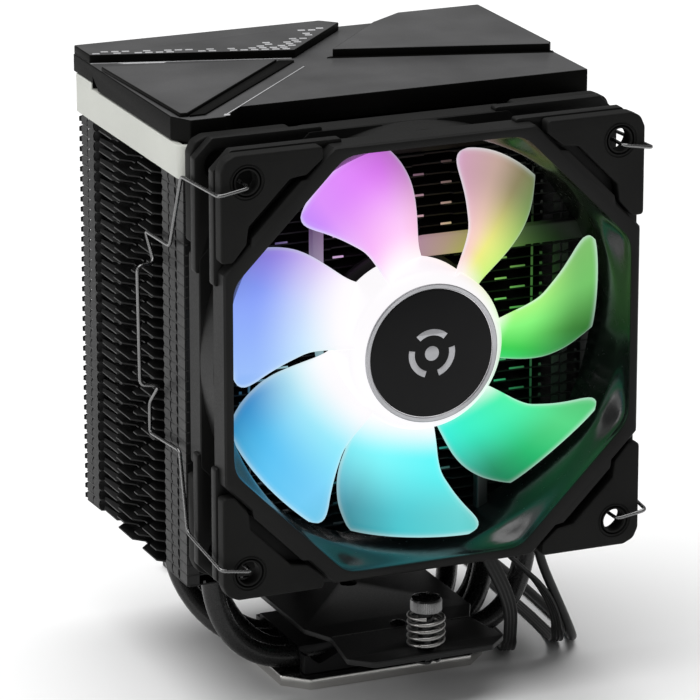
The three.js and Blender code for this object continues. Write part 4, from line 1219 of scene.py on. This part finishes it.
def add_fan_shell():
    """The frame's skin: rings from the front rim over the outside and back through the duct."""
    angles = ring_angles()
    outer = polar(rounded(octagon(59, 28.4), 1.2, 5))
    mouth = polar(rounded(octagon(56.4, 25), 9, 8))

    def outer_at(inset):
        return lambda a: outer(a) - inset

    def mouth_at(grow):
        return lambda a: mouth(a) + grow

    def circle_at(radius):
        return lambda a: radius

    def between(share):
        return lambda a: DUCT_R + (mouth(a) - DUCT_R) * share

    def at(y, *shapes):
        return [(shape, y) for shape in shapes]

    rows = [
        *at(-49.0, outer_at(1.1)), *at(-48.86, outer_at(0.55)), *at(-48.3, outer_at(0.06)),
            *at(-41.5, outer_at(0)),
        *at(-41.2, outer_at(0.3)), *at(-41.1, circle_at(BARREL_R)), *at(-31.9, circle_at(BARREL_R)),
            *at(-31.8, outer_at(0.3)),
        *at(-31.5, outer_at(0)), *at(-24.6, outer_at(0.06)), *at(-24.12, outer_at(0.55)),
            *at(-24.0, outer_at(1.1)),
    ]
    frame_count = len(rows)
    rows += [
        *at(-24.0, circle_at(57.1)), *at(-24.15, circle_at(56.65)), *at(-24.6, circle_at(DUCT_R)),
            *at(-33, circle_at(DUCT_R)),
        *at(-40.5, circle_at(DUCT_R)), *at(-41.6, between(0.06)), *at(-42.8, between(0.25)),
            *at(-44.2, between(0.55)),
        *at(-45.4, between(0.82)), *at(-46.4, between(0.97)), *at(-47.2, mouth_at(0)),
            *at(-48.5, mouth_at(0)),
        *at(-48.88, mouth_at(0.12)), *at(-49.0, mouth_at(0.5)),
    ]
    rings = [[Vector((shape(a) * cos(a), y, FAN_Z + shape(a) * sin(a))) for a in angles] for shape,
        y in rows]
    points, faces = skin(rings, loop=True)
    mesh = bpy.data.meshes.new("fan_shell")
    mesh.from_pydata([Vector(p) * MM for p in points], [], faces)
    mesh.materials.append(M["frame"])
    mesh.materials.append(M["gloss"])
    count = len(angles)
    for polygon in mesh.polygons:
        ring = polygon.index // count
        polygon.material_index = 1 if frame_count <= ring < len(rows) - 3 else 0
    work = bmesh.new()
    work.from_mesh(mesh)
    bmesh.ops.recalc_face_normals(work, faces=work.faces)
    work.to_mesh(mesh)
    work.free()
    finish_object("fan_shell", mesh, M["frame"], replaces=("fan_frame",), sharp=28)


def add_fan_corners():
    """Corner flanges with their holes, and the rubber pads."""
    pad = [(55.5, 59.7), (58.4, 58.4), (59.7, 55.5), (59.7, 31.5), (56.4, 31.5), (52.6, 36), (52, 40.6),
        (40.6, 52), (36, 52.6), (31.5, 56.4), (31.5, 59.7)]
    radii = [2.6, 2.6, 2.6, 1.2, 1.0, 1.6, 1.2, 1.2, 1.6, 1.0, 1.2]
    flange = [(60, 24.5), (60, 55), (55, 60), (24.5, 60), (24.5, 58.4), (29.2, 57.4), (57.4, 29.2),
        (58.4, 24.5)]
    for sx, sz, name in ((-1, 1, "top_left"), (1, 1, "top_right"), (-1, -1, "bottom_left"),
            (1, -1, "bottom_right")):
        hole_x, hole_z = sx * HOLE, sz * HOLE
        flip = lambda loop: [(sx * p[0], sz * p[1], *p[2:]) for p in loop]
        for place_name, y0, y1, pad0, pad1, face in (("front", -44.5, -41.3, -49.0, -44.8, -1),
                ("rear", -31.7, -28.5, -28.2, -24.0, 1)):
            plate(f"flange_{place_name}_{name}", [rounded(flip(flange), 1.0),
                circle(4.7, hole_x, hole_z, 28)], y0, y1, M["frame"], plan="frontal", centre=(0, 0, FAN_Z),
                bevel=0.3)
            loop = rounded(flip([(*p, r) for p, r in zip(pad, radii)]), 1.0)
            rubber = plate_mesh([loop, circle(3.0, hole_x, hole_z, 32)], pad0, pad1, bevel=0.55,
                plan="frontal", centre=(0, 0, FAN_Z), steps=4)
            groove_y = pad0 if face < 0 else pad1
            groove = tube_ring(4.55, 0.28, (hole_x, groove_y, FAN_Z + hole_z))
            rubber = cut_away(rubber, [groove])
            finish_object(f"pad_{place_name}_{name}", rubber, M["rubber"],
                replaces=(f"{place_name}_pad_{name}",))
            lip = [(3.05, groove_y - face * 0.6), (3.12, groove_y - face * 0.05), (3.5, groove_y),
                (4.0, groove_y), (4.25, groove_y - face * 0.12), (4.25, groove_y - face * 0.6)]
            lathe(f"pad_lip_{place_name}_{name}", lip, M["rubber"], axis="y",
                centre=(hole_x, 0, FAN_Z + hole_z), count=32, loop=True)


def tube_ring(radius, wire, centre):
    """A torus mesh about a line along Y."""
    rings = []
    for i in range(40):
        a = 2 * pi * i / 40
        middle = Vector((cos(a), 0, sin(a)))
        rings.append([Vector(centre) + middle * (radius + wire * cos(b)) + Vector((0, wire * sin(b),
            0)) for b in [2 * pi * k / 8 for k in range(8)]])
    return new_mesh(*skin(rings, loop=True))


def add_bezel_strips():
    """A raised strip on the bezel beside each pad."""
    for sx, sz, name in ((-1, 1, "top_left"), (1, 1, "top_right"), (-1, -1, "bottom_left"),
            (1, -1, "bottom_right")):
        loop = [(51.2, 37.6), (51.6, 34.9), (49.9, 33.2), (33.2, 49.9), (34.9, 51.6), (37.6, 51.2)]
        loop = rounded([(sx * x, sz * z) for x, z in loop], 0.5)
        plate("bezel_strip_" + name, [loop], -48.95, -44.6, M["frame"], plan="frontal",
            centre=(0, 0, FAN_Z), bevel=0.3)


def add_struts():
    seat = [(3.6, -38.9), (4.6, -38.9), (4.6, -27.4), (5.6, -26.4), (22.4, -26.4), (23, -25.9), (23, -24.6),
        (22.4, -24.02), (0.0, -24.02), (0.0, -25.6), (3.6, -25.6)]
    rings = [[Vector((r * cos(a), h, FAN_Z + r * sin(a))) for a in [2 * pi * i / 56 for i in range(56)]]
             for r, h in seat]
    mesh_object("motor_seat", *skin(rings, loop=True, capped=False), M["frame"])
    # each strut leaves the seat along a tangent; the upper one is wider
    for k, degrees in enumerate((0, 90, 180, 270)):
        turn = Matrix.Translation(Vector((0, 0, FAN_Z)) * MM) @ Matrix.Rotation(-radians(degrees), 4, "Y")
        rings = []
        low = 22.2 if k else 20.1
        for x, high in ((-5.0, 23.6), (-1.0, 24.2), (4.0, 25.2), (7.0, 25.5), (30, 25.5), (53.0, 25.5)):
            section = rounded(rectangle(low, -27.2, high, -24.4), 0.6)
            rings.append([Vector((x, y, z)) for z, y in section])
        mesh = new_mesh(*skin(rings))
        mesh.transform(turn)
        finish_object(f"strut_{k + 1}", mesh, M["lit_frame"])


add_fan_shell()
add_fan_corners()
add_bezel_strips()
add_struts()

# ---- rotor ----

TIP_R = 54.4
# Stations from the hub to the tip: radius, angle and Y of the back edge, then of the front edge.
BLADE = [
    (21.2, 78.5, -30.6, 120.5, -44.4), (23.5, 81.2, -30.4, 120.8, -44.5), (26, 82.8, -30.2, 121, -44.6),
    (30, 84.0, -30.0, 121.2, -44.6), (34, 85.0, -29.8, 122.2, -44.6), (38, 86.2, -29.5, 124.8, -44.5),
    (42, 88.0, -29.4, 127.4, -44.4), (46, 90.6, -29.3, 130.0, -44.2), (49, 93.0, -29.2, 131.8, -44.1),
    (51.5, 95.4, -29.3, 132.6, -43.9), (53.4, 97.3, -29.6, 131.8, -43.5), (54.4, 98.6, -30.2, 129.4, -42.8),
]


def add_impeller():
    across, half_thick = 18, 0.95
    stations = catmull(BLADE, 1.6)
    verts, faces, edge, dim = [], [], [], []
    for blade in range(7):
        turn = 360 / 7 * blade
        start = len(verts)
        rows = []
        for radius, a0, y0, a1, y1 in stations:
            row = []
            for i in range(across + 1):
                # points crowd towards both edges, where the section rounds off
                t = 0.5 - 0.5 * cos(pi * i / across)
                angle = radians(a0 + (a1 - a0) * t + turn)
                camber = 1.7 * sin(pi * t)
                y = y0 + (y1 - y0) * t + camber
                tip = min(1, 0.25 + 0.4 * (TIP_R - radius))
                thick = half_thick * sqrt(max(0, 1 - (2 * t - 1) ** 10)) * tip
                row.append((angle, y, thick, radius, t))
            rows.append(row)
        for sign in (-1, 1):
            for k, row in enumerate(rows):
                for angle, y, thick, radius, t in row:
                    verts.append(Vector((radius * cos(angle), y + sign * thick,
                        FAN_Z + radius * sin(angle))))
                    rim = max(0.0, 1 - min(t, 1 - t) / 0.035,
                        (radius - 53.2) / 1.2 if radius > 53.2 else 0.0)
                    edge.append(min(1.0, rim) * 0.5 if radius > 27 else 0.0)
                    # dim: painted shade on the glow, strongest at each blade's back edge and out towards
                    # the tip
                    dim.append(0.4 * max(0.0, 1 - t / 0.45) * max(0.0, (radius - 28) / 26))
        size = across + 1
        layer = len(rows) * size
        for k in range(len(rows) - 1):
            for i in range(across):
                a = start + k * size + i
                faces.append((a, a + 1, a + size + 1, a + size))
                b = a + layer
                faces.append((b, b + size, b + size + 1, b + 1))
        rim_loop = [k * size for k in range(len(rows))] + [(len(rows) - 1) * size + i for i in range(1,
            size)]
        rim_loop += [k * size + across for k in range(len(rows) - 2, -1, -1)] + list(range(across - 1, 0,
            -1))
        for p, q in zip(rim_loop, rim_loop[1:] + rim_loop[:1]):
            faces.append((start + p, start + q, start + q + layer, start + p + layer))
    mesh = bpy.data.meshes.new("blades")
    mesh.from_pydata([v * MM for v in verts], [], faces)
    for name, values in (("edge", edge), ("dim", dim)):
        mesh.attributes.new(name, "FLOAT", "POINT").data.foreach_set("value", values)
    tidy_mesh(mesh)
    finish_object("fan_blades", mesh, M["led"], "rotor", replaces=("impeller",), sharp=60)
    cup = [(0, -46.0), (16.8, -46.0), (17.9, -45.9), (19.3, -45.2), (20.7, -44.2), (21.6, -43.2),
        (22, -42.2), (22, -30.3), (21.7, -30), (20.3, -30), (20, -30.3), (20, -41.4), (16, -44), (1.9, -44),
        (1.9, -40), (0, -40)]
    lathe("hub_cup", cup, M["led"], axis="y", centre=(0, 0, FAN_Z), count=96, body="rotor")


def add_hub():
    ring = [(17.45, -46.25), (17.45, -46.62), (17.65, -46.8), (18.5, -46.8), (18.75, -46.6),
        (18.75, -46.25)]
    lathe("hub_trim_ring", ring, M["ring"], axis="y", centre=(0, 0, FAN_Z), count=96, body="rotor",
        replaces=("hub_ring",), loop=True)
    disc = [(0, -46.62), (16.9, -46.62), (17.25, -46.5), (17.35, -46.25), (0, -46.25)]
    lathe("hub_disc", disc, M["badge"], axis="y", centre=(0, 0, FAN_Z), count=96, body="rotor",
        replaces=("hub_badge",))
    # a plain emblem: three short arcs of the same ring, with a dot in the middle
    arcs = []
    for start in (90, 210, 330):
        steps = [radians(start - 42 + 84 * i / 14) for i in range(15)]
        arcs.append([(6.6 * cos(a), 6.6 * sin(a)) for a in steps] + [(4.9 * cos(a),
            4.9 * sin(a)) for a in reversed(steps)])
    emblem = [plate_mesh([loop], -46.7, -46.58, bevel=0.03, plan="frontal",
        centre=(0, 0, FAN_Z)) for loop in arcs]
    emblem.append(plate_mesh([circle(2.0, 0, 0, 32)], -46.7, -46.58, bevel=0.03, plan="frontal",
        centre=(0, 0, FAN_Z)))
    finish_object("hub_emblem", joined_mesh(emblem), M["ring"], "rotor")
    keep_node("magnet_ring", M["magnet"])
    keep_node("motor_shaft", M["steel"])
    keep_node("shaft_bearing", M["bronze"])
    keep_node("motor_coils", M["copper"])
    keep_node("motor_board", M["board"])


add_impeller()
add_hub()

# ---- wire clips ----

M["wire"] = finished("spring_wire", "steel", (0.17, 0.17, 0.17), 0.26, 1.0, grain_mm=0.5, depth_mm=0.006)

CLIP = [(52.5, -43.5, 151), (52.5, -50.7, 151), (61, -51, 149.6), (61, -25, 148.4), (60.5, -15, 127),
    (60.5, 2.5, 126.5), (60.5, -3.4, 119.4), (65.5, -4.2, 119.1), (65.5, -5.2, 86.9), (60.5, -6.2, 86.4),
    (60.5, 1, 79.5), (60.5, 1, 71.2), (60.5, -20.5, 72.8), (61, -27, 52.2), (61, -51, 49.4),
    (52.5, -50.7, 48), (52.5, -43.5, 48)]
WIRE_R = 0.5
WIRE_BEND = 1.6


def add_wire_clips():
    for name, side in (("left", -1), ("right", 1)):
        line = bent([(side * x, y, z) for x, y, z in CLIP], WIRE_BEND)
        tube("clip_wire_" + name, line, WIRE_R, M["wire"], body="clip_" + name,
            replaces=("wire_clip_" + name,), domed=True)


add_wire_clips()

# ---- floor and lights ----

FLOOR_REACH = 6.0
OVERHEAD_POWER = 3.2
OVERHEAD_SPREAD = radians(70)
SOFTBOX_POWER = 4.5
WORLD_STRENGTH = 0.22


def add_stage():
    mesh = bpy.data.meshes.new("floor")
    size = FLOOR_REACH
    mesh.from_pydata([(-size, -size, 0), (size, -size, 0), (size, size, 0), (-size, size, 0)], [],
        [(0, 1, 2, 3)])
    material = bpy.data.materials.new("pale_floor")
    material.use_nodes = True
    shader = material.node_tree.nodes["Principled BSDF"]
    shader.inputs["Base Color"].default_value = (0.92, 0.92, 0.92, 1)
    shader.inputs["Roughness"].default_value = 0.7
    mesh.materials.append(material)
    floor = bpy.data.objects.new("floor", mesh)
    bpy.context.scene.collection.objects.link(floor)


def add_light(name, location, target, size, power):
    data = bpy.data.lights.new(name, "AREA")
    data.shape = "RECTANGLE"
    data.size, data.size_y = size
    data.energy = power
    light = bpy.data.objects.new(name, data)
    light.location = Vector(location)
    light.rotation_euler = (Vector(target) - light.location).to_track_quat("-Z", "Y").to_euler()
    bpy.context.scene.collection.objects.link(light)


def add_sun():
    data = bpy.data.lights.new("overhead", "SUN")
    data.energy = OVERHEAD_POWER
    data.angle = OVERHEAD_SPREAD
    light = bpy.data.objects.new("overhead", data)
    light.rotation_euler = (radians(-8), radians(-6), 0)
    bpy.context.scene.collection.objects.link(light)


def add_world():
    world = bpy.data.worlds.new("studio")
    world.use_nodes = True
    background = world.node_tree.nodes["Background"]
    background.inputs["Color"].default_value = (1, 1, 1, 1)
    background.inputs["Strength"].default_value = WORLD_STRENGTH
    bpy.context.scene.world = world


add_stage()
add_world()
add_sun()
add_light("left_softbox", (-1.3, -0.1, 0.5), (0, 0, 0.08), (0.5, 1.0), SOFTBOX_POWER)
bpy.context.scene.view_settings.view_transform = "Standard"
